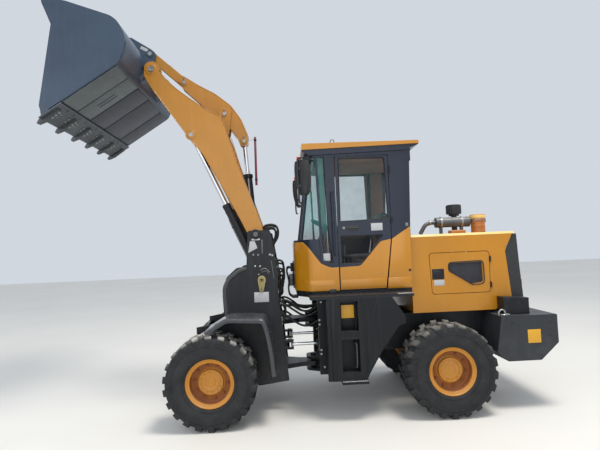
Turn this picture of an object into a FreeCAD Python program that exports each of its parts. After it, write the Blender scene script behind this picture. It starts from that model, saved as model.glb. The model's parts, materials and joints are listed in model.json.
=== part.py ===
import FreeCAD, Part
import math
import os
import Sketcher
from FreeCAD import Vector, Placement, Rotation

# Articulated wheel loader, 4.5 t class, with a Z-bar loader linkage shown fully
# raised and dumped.  Millimetres, +X forward, +Y to the machine's left, +Z up,
# ground at Z = 0.  Every X below is measured from the rear axle and moved by
# `shift_x` so that the row origin is under the middle of the whole machine.

os.makedirs("parts", exist_ok=True)
doc = FreeCAD.newDocument("wheel_loader")
sheet = doc.addObject("Spreadsheet::Sheet", "dims")
_row = [0]
_val = {}


def dim(alias, value):
    """Put one driving dimension in the sheet and return its value."""
    if alias in _val:
        return _val[alias]
    _row[0] += 1
    cell = "B%d" % _row[0]
    sheet.set("A%d" % _row[0], alias)
    sheet.set(cell, "%.6g" % value)
    sheet.setAlias(cell, alias)
    _val[alias] = float("%.6g" % value)
    return _val[alias]


# ---------------------------------------------------------------- main sizes
MAIN = [  # alias, millimetres (or degrees)
    ("shift_x", 1448.45),
    ("wheelbase", 2431.0), ("half_track", 750.0),
    ("tyre_radius", 470.0), ("tyre_half_width", 197.0), ("rim_seat_radius", 228.0),
    ("rim_flange_radius", 243.0), ("rim_inner_radius", 214.0), ("hub_cap_radius", 124.0),
    ("axle_stub_radius", 60.0), ("axle_tube_radius", 78.0),
    ("pivot_x", 1350.0), ("pivot_pin_radius", 32.0),
    ("boom_pin_x", 1957.0), ("boom_pin_z", 1947.0), ("boom_pin_radius", 32.0),
    ("bucket_pin_x", 3075.0), ("bucket_pin_z", 3872.0), ("bucket_pin_radius", 30.0),
    ("link_front_x", 3178.0), ("link_front_z", 4203.0),
    ("link_rear_x", 2774.0), ("link_rear_z", 3837.0),
    ("rocker_pin_x", 2298.0), ("rocker_pin_z", 3426.0),
    ("tilt_eye_x", 2078.0), ("tilt_eye_z", 3092.0),
    ("tilt_base_x", 1983.0), ("tilt_base_z", 1628.0),
    ("lift_eye_x", 2645.0), ("lift_eye_z", 3104.0),
    ("lift_base_x", 1890.0), ("lift_base_z", 1420.0),
    ("linkage_pin_radius", 25.0),
    ("arm_outer_y", 405.0), ("arm_width", 130.0), ("arm_wall", 15.0),
    ("bucket_half_width", 980.0), ("bucket_wall", 12.0), ("bucket_floor_angle", 33.0),
    ("cab_half_width", 620.0), ("hood_half_width", 560.0),
    ("counterweight_half_width", 800.0),
]
for _a, _v in MAIN:
    dim(_a, _v)
D = _val
SX = D["shift_x"]
doc.recompute()


def bind(obj, prop, alias, extra=""):
    obj.setExpression(prop, "dims.%s%s" % (alias, extra))


# ---------------------------------------------------------------- primitives
def box(name, x0, x1, y0, y1, z0, z1):
    o = doc.addObject("Part::Box", name)
    for prop, ax, a, b in (("Length", "x", x0, x1), ("Width", "y", y0, y1), ("Height", "z", z0, z1)):
        dim(name + "_l" + ax, b - a)
        dim(name + "_at" + ax, a)
        bind(o, prop, name + "_l" + ax)
        bind(o, "Placement.Base." + ax, name + "_at" + ax, " - dims.shift_x" if ax == "x" else "")
    return o


def cyl(name, radius, length, base, direction, alias=None):
    """Cylinder of `radius` from `base` along `direction`."""
    o = doc.addObject("Part::Cylinder", name)
    ra = alias or name + "_rad"
    dim(ra, radius)
    dim(name + "_len", length)
    bind(o, "Radius", ra)
    bind(o, "Height", name + "_len")
    rot = Rotation(Vector(0, 0, 1), Vector(*direction))
    o.Placement = Placement(Vector(base[0] - SX, base[1], base[2]), rot)
    return o


def rod(name, radius, p, q, alias=None):
    v = Vector(*q).sub(Vector(*p))
    return cyl(name, radius, v.Length, p, (v.x, v.y, v.z), alias)


def pin_y(name, radius, x, z, y0, y1, alias=None):
    return cyl(name, radius, y1 - y0, (x, y0, z), (0, 1, 0), alias)


def ring_y(name, r_out, r_in, x, z, y0, y1):
    return cut(name, pin_y(name + "_o", r_out, x, z, y0, y1), pin_y(name + "_i", r_in, x, z, y0 - 5, y1 + 5))


PLANE = {"XY": "XY_Plane", "XZ": "XZ_Plane", "YZ": "YZ_Plane"}


def new_body(name):
    b = doc.addObject("PartDesign::Body", name)
    return b


def add_sketch(body, name, plane, offset=0.0):
    sk = body.newObject("Sketcher::SketchObject", name)
    pl = [f for f in body.Origin.OriginFeatures if f.Role == PLANE[plane]][0]
    sk.AttachmentSupport = [(pl, "")]
    sk.MapMode = "FlatFace"
    if offset:
        sk.AttachmentOffset = Placement(Vector(0, 0, offset), Rotation())
    return sk


def trace(sk, pts):
    """Closed loop: a point is (x, y) or (x, y, r) where r rounds that corner."""
    n = len(pts)
    V = [Vector(p[0], p[1], 0) for p in pts]
    ends, arcs = [], []
    for i in range(n):
        r = pts[i][2] if len(pts[i]) > 2 else 0
        if r <= 0:
            ends.append((V[i], V[i]))
            arcs.append(None)
            continue
        a = V[i - 1].sub(V[i])
        b = V[(i + 1) % n].sub(V[i])
        a.normalize()
        b.normalize()
        half = math.acos(max(-1, min(1, a.dot(b)))) / 2
        t = r / math.tan(half)
        p, q = V[i].add(a * t), V[i].add(b * t)
        m = a.add(b)
        m.normalize()
        c = V[i].add(m * (r / math.sin(half)))
        mid = c.sub(m * r)
        ends.append((p, q))
        arcs.append(Part.Arc(p, mid, q))
    geo = []
    for i in range(n):
        if arcs[i] is not None:
            geo.append(arcs[i])
        p, q = ends[i][1], ends[(i + 1) % n][0]
        if p.distanceToPoint(q) > 1e-4:
            geo.append(Part.LineSegment(p, q))
    sk.addGeometry(geo, False)


def ring(sk, x, y, r):
    sk.addGeometry(Part.Circle(Vector(x, y, 0), Vector(0, 0, 1), r), False)


def plate(name, pts, y0, y1, holes=(), cuts=()):
    """Plate in the XZ plane between y0 and y1.  holes: (x, z, r); cuts: inner loops."""
    b = new_body(name)
    sk = add_sketch(b, name + "_sk", "XZ")
    trace(sk, pts)
    for x, z, r in holes:
        ring(sk, x, z, r)
    for c in cuts:
        trace(sk, c)
    dim(name + "_thk", y1 - y0)
    dim(name + "_face", y1)
    pad = body_pad(b, name, sk)
    sk.setExpression("AttachmentOffset.Base.z", "-dims.%s_face" % name)
    b.setExpression("Placement.Base.x", "-dims.shift_x")
    return b


def body_pad(b, name, sk):
    pad = b.newObject("PartDesign::Pad", name + "_pad")
    pad.Profile = sk
    pad.Reversed = False
    pad.setExpression("Length", "dims.%s_thk" % name)
    b.Tip = pad
    return pad


def slab(name, pts, z0, z1, holes=(), cuts=()):
    """Plate in the XY plane between z0 and z1."""
    b = new_body(name)
    sk = add_sketch(b, name + "_sk", "XY")
    trace(sk, pts)
    for x, y, r in holes:
        ring(sk, x, y, r)
    for c in cuts:
        trace(sk, c)
    dim(name + "_thk", z1 - z0)
    dim(name + "_foot", z0)
    body_pad(b, name, sk)
    sk.setExpression("AttachmentOffset.Base.z", "dims.%s_foot" % name)
    b.setExpression("Placement.Base.x", "-dims.shift_x")
    return b


def sheet_x(name, pts, x0, x1, holes=(), cuts=()):
    """Plate in the YZ plane between x0 and x1, points (y, z)."""
    b = new_body(name)
    sk = add_sketch(b, name + "_sk", "YZ")
    trace(sk, pts)
    for x, y, r in holes:
        ring(sk, x, y, r)
    for c in cuts:
        trace(sk, c)
    dim(name + "_thk", x1 - x0)
    dim(name + "_foot", x0)
    body_pad(b, name, sk)
    sk.setExpression("AttachmentOffset.Base.z", "dims.%s_foot" % name)
    b.setExpression("Placement.Base.x", "-dims.shift_x")
    return b


def turned(name, pts, at):
    """Solid of revolution about a line along Y through `at`; points (y, radius)."""
    b = new_body(name)
    sk = add_sketch(b, name + "_sk", "YZ")
    trace(sk, pts)
    rev = b.newObject("PartDesign::Revolution", name + "_rev")
    rev.Profile = sk
    rev.ReferenceAxis = (sk, ["H_Axis"])
    rev.Angle = 360.0
    b.Tip = rev
    b.Placement = Placement(Vector(at[0] - SX, at[1], at[2]), Rotation())
    return b


def pipe(name, pts, y, radius, at_x=True):
    """Round bar of `radius` along a path in the XZ plane at `y`; path points (x, z) or (x, z, r)."""
    b = new_body(name)
    path = add_sketch(b, name + "_path", "XZ", -y)
    n = len(pts)
    V = [Vector(p[0], p[1], 0) for p in pts]
    geo, last = [], V[0]
    for i in range(1, n):
        r = pts[i][2] if (len(pts[i]) > 2 and i < n - 1) else 0
        if r <= 0:
            geo.append(Part.LineSegment(last, V[i]))
            last = V[i]
            continue
        a, c = last.sub(V[i]), V[i + 1].sub(V[i])
        a.normalize()
        c.normalize()
        half = math.acos(max(-1, min(1, a.dot(c)))) / 2
        t = r / math.tan(half)
        p, q = V[i].add(a * t), V[i].add(c * t)
        m = a.add(c)
        m.normalize()
        mid = V[i].add(m * (r / math.sin(half) - r))
        geo += [Part.LineSegment(last, p), Part.Arc(p, mid, q)]
        last = q
    path.addGeometry(geo, False)
    sec = add_sketch(b, name + "_round", "YZ" if at_x else "XY", pts[0][0] if at_x else pts[0][1])
    if at_x:
        ring(sec, y, pts[0][1], radius)
    else:
        ring(sec, pts[0][0], y, radius)
    sw = b.newObject("PartDesign::AdditivePipe", name + "_sweep")
    sw.Profile = sec
    sw.Spine = path
    b.Tip = sw
    b.setExpression("Placement.Base.x", "-dims.shift_x")
    return b


def cut(name, base, tool):
    o = doc.addObject("Part::Cut", name)
    o.Base = base
    o.Tool = tool
    return o


def fuse(name, parts):
    if len(parts) == 1:
        return parts[0]
    o = doc.addObject("Part::MultiFuse", name)
    o.Shapes = parts
    return o


def mirror_y(name, src):
    o = doc.addObject("Part::Mirroring", name)
    o.Source = src
    o.Base = Vector(0, 0, 0)
    o.Normal = Vector(0, 1, 0)
    return o


def group(name, parts):
    o = doc.addObject("Part::Compound", name)
    o.Links = parts
    return o


NODES = []


def node(label, obj):
    obj.Label = label
    NODES.append((label, obj))
    return obj


def both_sides(label, src):
    """One node holding a piece and its mirror image."""
    return node(label, group(label + "_pair", [src, mirror_y(label + "_right", src)]))


# ================================================================ wheels
TR, TW = D["tyre_radius"], D["tyre_half_width"]
RS, RF, RI = D["rim_seat_radius"], D["rim_flange_radius"], D["rim_inner_radius"]
TYRE = [  # y, radius, corner radius: outside from bead over the tread, then the cavity
    (-154, RS + 1, 0), (-159, RF + 9, 8), (-TW, 330, 60), (-TW + 2, 405, 40), (-165, TR, 18),
    (165, TR, 18), (TW - 2, 405, 40), (TW, 330, 60), (159, RF + 9, 8), (154, RS + 1, 0),
    (120, RS + 1, 0), (128, RF + 12, 8), (TW - 28, 330, 40), (TW - 32, 392, 25), (130, TR - 42, 12),
    (-130, TR - 42, 12), (-TW + 32, 392, 25), (-TW + 28, 330, 40), (-128, RF + 12, 8), (-120, RS + 1, 0),
]
RIM = [  # y (outboard positive), radius: flanges, barrel, disc and hub in one turned section
    (176, RF), (164, RF), (158, RS), (-158, RS), (-164, RF), (-176, RF), (-176, RS - 2),
    (-160, RI), (48, RI), (48, 118), (-62, 112), (-62, 60.3), (58, 60.3), (58, 0),
    (104, 0), (104, 96), (100, D["hub_cap_radius"]), (72, D["hub_cap_radius"]),
    (64, 140), (64, RI), (160, RI), (176, RS - 2),
]
for tag, wx, side in (("front_left", D["wheelbase"], 1), ("front_right", D["wheelbase"], -1),
                      ("rear_left", 0.0, 1), ("rear_right", 0.0, -1)):
    at = (wx, side * D["half_track"], TR)
    node("tyre_" + tag, turned("tyre_" + tag, TYRE, at))
    prof = [(side * p[0], p[1]) for p in RIM]
    node("rim_" + tag, turned("rim_" + tag, prof, at))

# ================================================================ axles
for tag, wx in (("front", D["wheelbase"]), ("rear", 0.0)):
    parts = [
        cyl(tag + "_axle_tube", D["axle_tube_radius"], 1340, (wx, -670, TR), (0, 1, 0), "axle_tube_radius"),
        cyl(tag + "_axle_stub", D["axle_stub_radius"], 1600, (wx, -800, TR), (0, 1, 0), "axle_stub_radius"),
        turned(tag + "_axle_bowl", [(-190, 0), (-190, 84), (-120, 150, 30), (120, 150, 30), (190, 84), (190, 0)], (wx, 0, TR)),
        box(tag + "_axle_pad_l", wx - 90, wx + 90, 285, 405, TR + 30, 630 if tag == "front" else 600),
        box(tag + "_axle_pad_r", wx - 90, wx + 90, -405, -285, TR + 30, 630 if tag == "front" else 600),
    ]
    s = -1 if tag == "front" else 1
    parts.append(cyl(tag + "_axle_nose", 62, 230, (wx, 0, TR), (s, 0, 0)))
    if tag == "front":
        parts.append(rod("shaft_front", 34, (1590, 0, 660), (2220, 0, 480)))
    node(tag + "_axle", fuse(tag + "_axle_all", parts))

# ================================================================ rear frame
PX = D["pivot_x"]
rail = plate("rear_rail", [(-1000, 990), (735, 990), (735, 650), (680, 600), (330, 600, 40), (260, 640, 30), (-260, 640, 30),
                           (-330, 600, 40), (-640, 600), (-1000, 640)], 330, 350)
hinge_side = plate("rear_hinge_side", [(560, 1010), (1290, 1010), (1290, 850), (1180, 780), (1180, 600), (1290, 500), (1290, 340),
                                       (900, 340), (700, 600), (560, 600)], 165, 185)
LUGS_REAR = [  # name, z0, z1
    ("rear_lug_a", 990, 1010), ("rear_lug_b", 850, 875), ("rear_lug_c", 475, 500), ("rear_lug_d", 340, 365),
]
lug_pts = [(1140, -165), (1290, -165), (1430, -88, 80), (1430, 88, 80), (1290, 165), (1140, 165)]
pieces = [rail, mirror_y("rear_rail_r", rail), hinge_side, mirror_y("rear_hinge_side_r", hinge_side)]
for nm, z0, z1 in LUGS_REAR:
    pieces.append(slab(nm, lug_pts, z0, z1))
pieces += [
    cyl("articulation_pin_top", D["pivot_pin_radius"], 200, (PX, 0, 830), (0, 0, 1), "pivot_pin_radius"),
    cyl("articulation_pin_low", D["pivot_pin_radius"], 200, (PX, 0, 320), (0, 0, 1), "pivot_pin_radius"),
    cut("rear_cross_a", box("rear_cross_a_plate", 540, 560, -350, 350, 600, 990), box("shaft_gap_rear", 500, 600, -60, 60, 600, 720)),
    box("rear_cross_b", -660, -640, -330, 330, 640, 990),
    box("rear_cross_c", -1000, -980, -330, 330, 640, 990),
    box("rear_cross_d", -60, 60, -330, 330, 640, 700),
    box("rear_cross_e", 1140, 1160, -165, 165, 850, 1010),
    box("hose_bulkhead", 1146, 1160, -150, 150, 1009, 1190),
]
for tag, s in (("l", 1), ("r", -1)):
    y0, y1 = sorted((s * 184, s * 334))
    pieces += [box("steer_base_up_" + tag, 740, 840, y0, y1, 735, 755), box("steer_base_low_" + tag, 740, 840, y0, y1, 645, 665),
               cyl("steer_base_pin_" + tag, 18, 120, (800, s * 300, 640), (0, 0, 1))]
node("rear_frame", fuse("rear_frame_all", pieces))
node("engine_block", fuse("engine_block_all", [
    box("engine_core", -620, 60, -230, 230, 760, 1330), box("engine_head", -560, 0, -120, 120, 1330, 1560),
]))
node("transmission", fuse("transmission_all", [
    box("gear_case", 180, 520, -190, 190, 560, 960), cyl("gear_case_rear", 62, 121, (61, 0, 700), (1, 0, 0)),
    rod("shaft_rear_a", 36, (519, 0, 660), (1110, 0, 670)),
]))

# counterweight: outline seen from the side, full width, with a tail notch for the hitch
CW = [(-585, 975), (-1176, 975, 12), (-1176, 684, 12), (-983, 510, 20), (-634, 510, 12), (-525, 613)]
cw_body = plate("counterweight_block", CW, -D["counterweight_half_width"], D["counterweight_half_width"])
cw_clear = box("counterweight_frame_gap", -1002, -400, -352, 352, 400, 1100)
cw_slot = fuse("counterweight_hitch_room", [box("counterweight_hitch_slot", -1300, -1060, -70, 70, 700, 800),
                                            box("counterweight_hitch_under", -1300, -1060, -70, 70, 480, 650)])
cw1 = cut("counterweight_a", cw_body, cw_clear)
cw2 = cut("counterweight_b", cw1, cw_slot)
hitch_bore = cyl("hitch_bore", 20, 500, (-1120, 0, 500), (0, 0, 1))
node("counterweight", cut("counterweight_c", cw2, hitch_bore))
node("battery_boxes", group("battery_boxes_all", [
    box("battery_box_l", -937, -662, 562, 705, 975.5, 1142), box("battery_box_r", -937, -662, -705, -562, 975.5, 1142),
]))

# ================================================================ hood
HH = D["hood_half_width"]
hood_side_pts = [(268, 1840), (-876, 1840), (-787, 1652), (-831, 1140), (-640, 1015), (268, 1015)]
door_open = [(66, 1660, 40), (-612, 1660, 40), (-600, 1205, 40), (50, 1205, 40)]
side = plate("hood_side", hood_side_pts, HH - 12, HH, cuts=[door_open])
hood_top = sheet_x("hood_top", [(-HH, 1838), (-HH + 24, 1864), (HH - 24, 1864), (HH, 1838), (HH - 12, 1838), (HH - 29, 1852),
                                (-HH + 29, 1852), (-HH + 12, 1838)], -905, 268)
node("engine_hood", fuse("engine_hood_all", [side, mirror_y("hood_side_r", side), hood_top,
                                             box("hood_front_wall", 240, 254, -HH + 12, HH - 12, 1015, 1838)]))
door_pts = [(60, 1654, 35), (-606, 1654, 35), (-594, 1211, 35), (45, 1211, 35)]
vent = [(-138, 1542, 25), (-523, 1548, 30), (-525, 1318, 40), (-396, 1302, 40), (-150, 1454, 25)]
for tag, s in (("left", 1), ("right", -1)):
    y0, y1 = sorted((s * (HH - 10), s * HH))
    m0, m1 = sorted((s * (HH - 16), s * (HH - 10)))
    node("engine_door_" + tag, fuse("engine_door_all_" + tag, [
        plate("engine_door_leaf_" + tag, door_pts, y0, y1, cuts=[vent]),
        plate("engine_door_mesh_" + tag, [(-118, 1562), (-545, 1568), (-545, 1285), (-396, 1282), (-128, 1445)], m0, m1)]))
grille_out = [(-790, 1836), (-930, 1836), (-937, 1650), (-946, 1441), (-966, 1136), (-966, 1112), (-838, 1112), (-838, 1142), (-794, 1652)]
grille_band = plate("grille_band", grille_out, -HH + 14, HH - 14)
grille_hole = box("grille_hole", -1000, -700, -470, 470, 1190, 1780)
grille_core = plate("grille_core", [(-815, 1800), (-838, 1800), (-832, 1456), (-880, 1170), (-860, 1170), (-812, 1456)], -480, 480)
node("rear_grille", fuse("rear_grille_all", [cut("grille_frame", grille_band, grille_hole), grille_core]))
node("muffler", fuse("muffler_all", [
    cyl("muffler_can", 60, 410, (-186, 90, 2010), (-1, 0, 0)),
    pipe("exhaust_pipe", [(-200, 2012), (-75, 2012, 110), (3, 1882)], 90, 24),
    box("muffler_leg_a", -262, -238, 60, 120, 1864.3, 2000), box("muffler_leg_b", -512, -488, 60, 120, 1864.3, 2000),
]))
node("air_cleaner", fuse("air_cleaner_all", [
    cyl("air_can", 80, 170, (-688, 130, 1864.3), (0, 0, 1)), cyl("air_cap", 88, 76, (-688, 130, 2010), (0, 0, 1)),
]))
node("pre_cleaner", fuse("pre_cleaner_all", [
    cyl("pre_cleaner_cap", 90, 110, (-486, -90, 2118), (0, 0, 1)), cyl("pre_cleaner_collar", 62, 25, (-486, -90, 2095), (0, 0, 1)),
    cyl("pre_pipe", 34, 235, (-486, -90, 1864.3), (0, 0, 1))]))

# ================================================================ platform, tanks, steps
deck_pts = [(1520, -330), (1370, -560), (1400, -600), (1400, -850, 30), (323, -850, 30), (323, 850, 30), (1400, 850, 30),
            (1400, 600), (1370, 560), (1520, 330)]
CW2 = D["cab_half_width"]
deck = slab("cab_platform_plate", deck_pts, 1235, 1268)
cab_floor = slab("cab_floor_plate", [(1525, -340), (1362, -CW2 + 14), (290, -CW2 + 14), (290, CW2 - 14), (1362, CW2 - 14),
                                     (1525, 340)], 1268, 1300)
deck_sill = box("deck_mount_sill", 560, 700, -340, 340, 1010.3, 1235)
seat_box = box("seat_base_box", 460, 860, -220, 220, 1299, 1559.5)
node("cab_platform", fuse("cab_platform_all", [deck, cab_floor, deck_sill, seat_box]))
tank_pts = [(1230, 1234), (1230, 410), (853, 410), (826, 470), (681, 703), (500, 940), (431, 964), (431, 1040), (560, 1234)]
tank = plate("side_tank_body", tank_pts, 480, 850)
rec1 = box("step_recess_top", 917, 1097, 740, 900, 905, 1207)
rec2 = box("step_recess_low", 917, 1097, 740, 900, 495, 830)
tank_a = cut("side_tank_a", tank, rec1)
tank_b = cut("side_tank_b", tank_a, rec2)
tank_all = fuse("side_tank_all", [tank_b, box("tank_mount_plate", 1229, 1310, 482, 600, 420, 1234),
                                  box("tank_mount_arm", 900, 1100, 185.3, 481, 880, 960),
                                  box("lower_step_tread", 840, 1110, 620, 870, 378, 411)])
both_sides("side_tanks", tank_all)

# ================================================================ cab
ZF = 1300.0
# black frame: side plates with openings for the door, the front quarter glass and above the belt line
FT = 45.0  # pillar depth
cab_side_top = plate("cab_side_top", [(1300, 2750), (1300, 2815), (215, 2815), (238, 2756)], CW2 - FT, CW2)
cab_b = plate("cab_b_pillar", [(1176, 2752), (1068, 2752), (1062, 1301), (1118, 1301), (1124, 1640), (1158, 1988)], CW2 - FT, CW2)
cab_c = plate("cab_rear_pillar", [(474, 2757), (238, 2757), (268, 1966), (272, 1301), (549, 1301), (474, 1836)], CW2 - FT, CW2)
cab_a = plate("cab_a_pillar", [(1272, 2752), (1252, 2752), (1226, 1613), (1252, 1600)], CW2 - FT, CW2)
cab_a2 = plate("cab_quarter_sill", [(1262, 1640), (1115, 1596), (1118, 1540), (1262, 1600)], CW2 - FT, CW2)
cab_a3 = plate("cab_corner_cover", [(1240, 1606), (1262, 1845), (1338, 1845), (1338, 1780), (1262, 1580)], CW2 - 30, CW2 - 14)
# front corner posts beside the windscreen, leaning back
cab_f = rod("cab_front_post", 22, (1452, 352, 1850), (1318, 352, 2790))
cab_top_corner = slab("cab_top_corner", [(1240, 575), (1300, 620), (1350, 352), (1350, -352), (1300, -620), (1240, -575), (1300, -340), (1300, 340)], 2756, 2815)
left = [cab_side_top, cab_b, cab_c, cab_a, cab_a2, cab_a3, cab_f]
allp = left + [mirror_y(o.Name + "_r", o) for o in left]
allp += [
    box("cab_rear_wall_low", 270, 300, -CW2 + FT, CW2 - FT, 1301, 2050),
    box("cab_rear_wall_top", 215, 245, -CW2 + FT - 1, CW2 - FT + 1, 2690, 2815),
    cab_top_corner,
    slab("cab_sill_ring", [(1530, -330), (1530, 330), (1366, CW2 - 14), (1250, CW2 - 14), (1250, CW2 - 50), (1340, CW2 - 50), (1490, 310), (1490, -310),
                           (1340, -CW2 + 50), (1250, -CW2 + 50), (1250, -CW2 + 14), (1366, -CW2 + 14)], 1838.5, 1862),
    plate("roof_visor", [(1414, 2831.6), (136, 2863.6), (136, 2857), (279, 2799), (1324, 2771), (1414, 2812)], -640, 640),
    slab("cab_ceiling", [(1345, -350), (1300, -600), (230, -600), (230, 600), (1300, 600), (1345, 350)], 2806, 2821.5),
]
cab_frame_all = fuse("cab_frame_all", allp)
node("cab_frame", cab_frame_all)
roof = plate("roof_plate", [(1416, 2900, 14), (134, 2900, 14), (134, 2864), (1416, 2832)], -650, 650)
node("cab_roof", roof)
# yellow lower panels: front nose, front side panels, rear side panels
nose_side = plate("nose_side_panel", [(1350, 1838), (1338, 1776), (1252, 1604), (1134, 1549), (1066, 1549), (1066, 1301), (1350, 1301)], CW2 + 0.3, CW2 + 8)
rear_side = plate("rear_side_panel", [(475, 1834), (272, 1962), (272, 1301), (549, 1301)], CW2 + 0.3, CW2 + 8)
nose = slab("nose_panel", [(1540, -340), (1540, 340), (1368, CW2 + 1), (1340, CW2 + 1), (1340, CW2 - 12), (1356, CW2 - 12), (1528, 332), (1528, -332), (1356, -CW2 + 12),
                           (1340, -CW2 + 12), (1340, -CW2 - 1), (1368, -CW2 - 1)], 1301, 1838)
node("cab_lower_panels", group("cab_lower_set", [fuse("cab_nose_all", [nose, nose_side, mirror_y("nose_side_panel_r", nose_side)]),
                                               rear_side, mirror_y("rear_side_panel_r", rear_side)]))
# doors: frame with a window, yellow lower leaf
door_leaf_pts = [(1057, 2750), (482, 2750), (482, 1838), (561, 1306), (1057, 1306)]
door_window = [(1025, 2735, 20), (515, 2728, 20), (500, 2048, 20), (1033, 2037, 20)]
door_low = [(1030, 1885, 12), (560, 1885, 12), (618, 1818, 12), (800, 1580, 20), (1030, 1580, 12)]
door_skin = [(1053, 1549), (830, 1556, 60), (600, 1812, 50), (488, 1832), (563, 1310), (1053, 1310)]
for tag, s in (("left", 1), ("right", -1)):
    y0, y1 = sorted((s * (CW2 - 30), s * CW2))
    k0, k1 = sorted((s * (CW2 + 0.3), s * (CW2 + 8)))
    node("cab_door_skin_" + tag, plate("cab_door_skin_" + tag, door_skin, k0, k1))
    node("cab_door_" + tag, plate("cab_door_" + tag, door_leaf_pts, y0, y1, cuts=[door_window, door_low]))
    g0, g1 = sorted((s * (CW2 - 18), s * (CW2 - 13)))
    node("cab_door_glass_" + tag, group("cab_door_glass_%s_set" % tag, [
        plate("door_glass_up_" + tag, [(1024.5, 2734, 21), (515.5, 2727, 21), (501, 2048.5, 21), (1032, 2038, 21)], g0, g1),
        plate("door_glass_low_" + tag, [(1029, 1884, 13), (563.5, 1884, 13), (619.5, 1818.5, 13), (801.5, 1581, 21), (1029, 1581, 13)], g0, g1)]))
hinges = group("door_hinge_set", [cyl("door_hinge_a", 11, 70, (470, CW2 + 14, 2560), (0, 0, 1)),
                                  cyl("door_hinge_b", 11, 70, (470, CW2 + 14, 2000), (0, 0, 1)),
                                  cyl("hood_hinge_a", 8, 60, (-612, HH + 10, 1540), (0, 0, 1)),
                                  cyl("hood_hinge_b", 8, 60, (-606, HH + 10, 1260), (0, 0, 1))])
both_sides("door_hinges", hinges)
quarter_raw = plate("glass_quarter_raw", [(1251, 2749), (1178, 2749), (1160, 1989), (1127, 1645), (1128, 1600), (1224, 1632)], CW2 - 26, CW2 - 20)
quarter = cut("glass_quarter", quarter_raw, cab_frame_all)
corner_glass = doc.addObject("Part::Loft", "glass_corner")
secs = []
for i, (z, xs, xf) in enumerate(((1640, 1256, 1462), (1862.5, 1258, 1442), (2750, 1274, 1316))):
    w = Part.makePolygon([Vector(xs - SX, CW2 - 26, z), Vector(xf - SX, 362, z), Vector(xf - 6 - SX, 360, z), Vector(xs - 6 - SX, CW2 - 29, z), Vector(xs - SX, CW2 - 26, z)])
    if i == 0:
        continue
    f = doc.addObject("Part::Feature", "corner_section_%d" % i)
    f.Shape = w
    secs.append(f)
corner_glass.Sections = secs
corner_glass.Solid = True
corner_glass.Ruled = True
front_glass = doc.addObject("Part::Box", "glass_front")
for prop, al, v in (("Length", "glass_front_thk", 6), ("Width", "glass_front_width", 650), ("Height", "glass_front_height", 893)):
    dim(al, v)
    bind(front_glass, prop, al)
front_glass.Placement = Placement(Vector(1444 - SX, -325, 1863), Rotation(Vector(0, 1, 0), -8.12))
rear_glass = box("glass_rear", 248, 254, -CW2 + 50, CW2 - 50, 2052, 2688)
corner_trim = cut("glass_corner_trimmed", corner_glass, cab_frame_all)
node("cab_glass", group("cab_glass_set", [quarter, mirror_y("glass_quarter_r", quarter), corner_trim, mirror_y("glass_corner_r", corner_trim), front_glass, rear_glass]))
node("operator_seat", fuse("operator_seat_all", [
    box("seat_cushion", 470, 900, -240, 240, 1560, 1680), box("seat_back", 400, 500, -230, 230, 1560, 2160)]))
wheel_ring = doc.addObject("Part::Torus", "steering_ring")
for prop, al, v in (("Radius1", "steering_ring_radius", 190), ("Radius2", "steering_ring_grip", 15)):
    dim(al, v)
    bind(wheel_ring, prop, al)
srot = Rotation(Vector(0, 0, 1), Vector(-0.46, 0, 0.888))
wheel_ring.Placement = Placement(Vector(1128 - SX, 0, 2014), srot)
spoke = doc.addObject("Part::Box", "steering_spoke")
for prop, al, v in (("Length", "spoke_len", 24), ("Width", "spoke_span", 380), ("Height", "spoke_thk", 12)):
    dim(al, v)
    bind(spoke, prop, al)
spoke.Placement = Placement(srot.multVec(Vector(-12, -190, -6)).add(Vector(1128 - SX, 0, 2014)), srot)
node("steering_column", fuse("steering_column_all", [
    box("dash_box", 1200, 1340, -150, 150, 1300, 1790), rod("column", 30, (1250, 0, 1780), (1128, 0, 2014)), wheel_ring, spoke]))
mirror_arm = fuse("mirror_arm_set", [
    rod("mirror_arm_a", 9, (1296, 621, 2700), (1470, 700, 2700)), rod("mirror_arm_b", 9, (1466, 700, 2705), (1466, 700, 2250)),
    box("mirror_head", 1456, 1486, 640, 790, 2300, 2620)])
both_sides("mirrors", mirror_arm)
lamp = fuse("work_lamp_set", [box("work_lamp_body", 1362, 1412, 380, 500, 2700, 2786), box("work_lamp_foot", 1375, 1395, 430, 450, 2785, 2793)])
both_sides("work_lamps", lamp)

# ================================================================ front frame and tower
AX, AZ = D["boom_pin_x"], D["boom_pin_z"]
CX, CZ = D["lift_base_x"], D["lift_base_z"]
TX, TZ = D["tilt_base_x"], D["tilt_base_z"]
PR = D["boom_pin_radius"]
tower_pts = [(2045, 1990, 30), (1795, 1990, 30), (1758, 1742), (1732, 1562), (1726, 1206), (1690, 873), (1645, 330), (1975, 290),
             (2140, 400), (2240, 600), (2640, 600), (2640, 950), (2330, 1000), (2345, 1290, 140), (2300, 1480, 110), (2180, 1585, 60), (2072, 1592, 30), (2062, 1755)]
tower = plate("tower_outer_plate", tower_pts, 415, 435)
inner_pts = [(2045, 1990, 30), (1845, 1990, 30), (1790, 1742), (1770, 1562), (1770, 640), (2300, 640), (2300, 1000), (2060, 1400), (2062, 1755)]
inner = plate("tower_inner_plate", inner_pts, 245, 265)
fl = [(1760, -170), (1480, -160), (1430, -120), (1262, -80, 78), (1262, 80, 78), (1430, 120), (1480, 160), (1760, 170)]
front_lug_pts = [(1790, -260), (1500, -120), (1262, -86, 84), (1262, 86, 84), (1500, 120), (1790, 260)]
tilt_lug = plate("tilt_base_lug", [(1771, TZ + 110), (TX - 20, TZ + 62), (TX + 62, TZ + 30, 50), (TX + 62, TZ - 40, 50), (TX - 20, TZ - 62), (1771, TZ - 140)], 58, 78, holes=[(TX, TZ, 27)])
pieces = [tower, mirror_y("tower_outer_r", tower), inner, mirror_y("tower_inner_r", inner), tilt_lug, mirror_y("tilt_base_lug_r", tilt_lug)]
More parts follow.
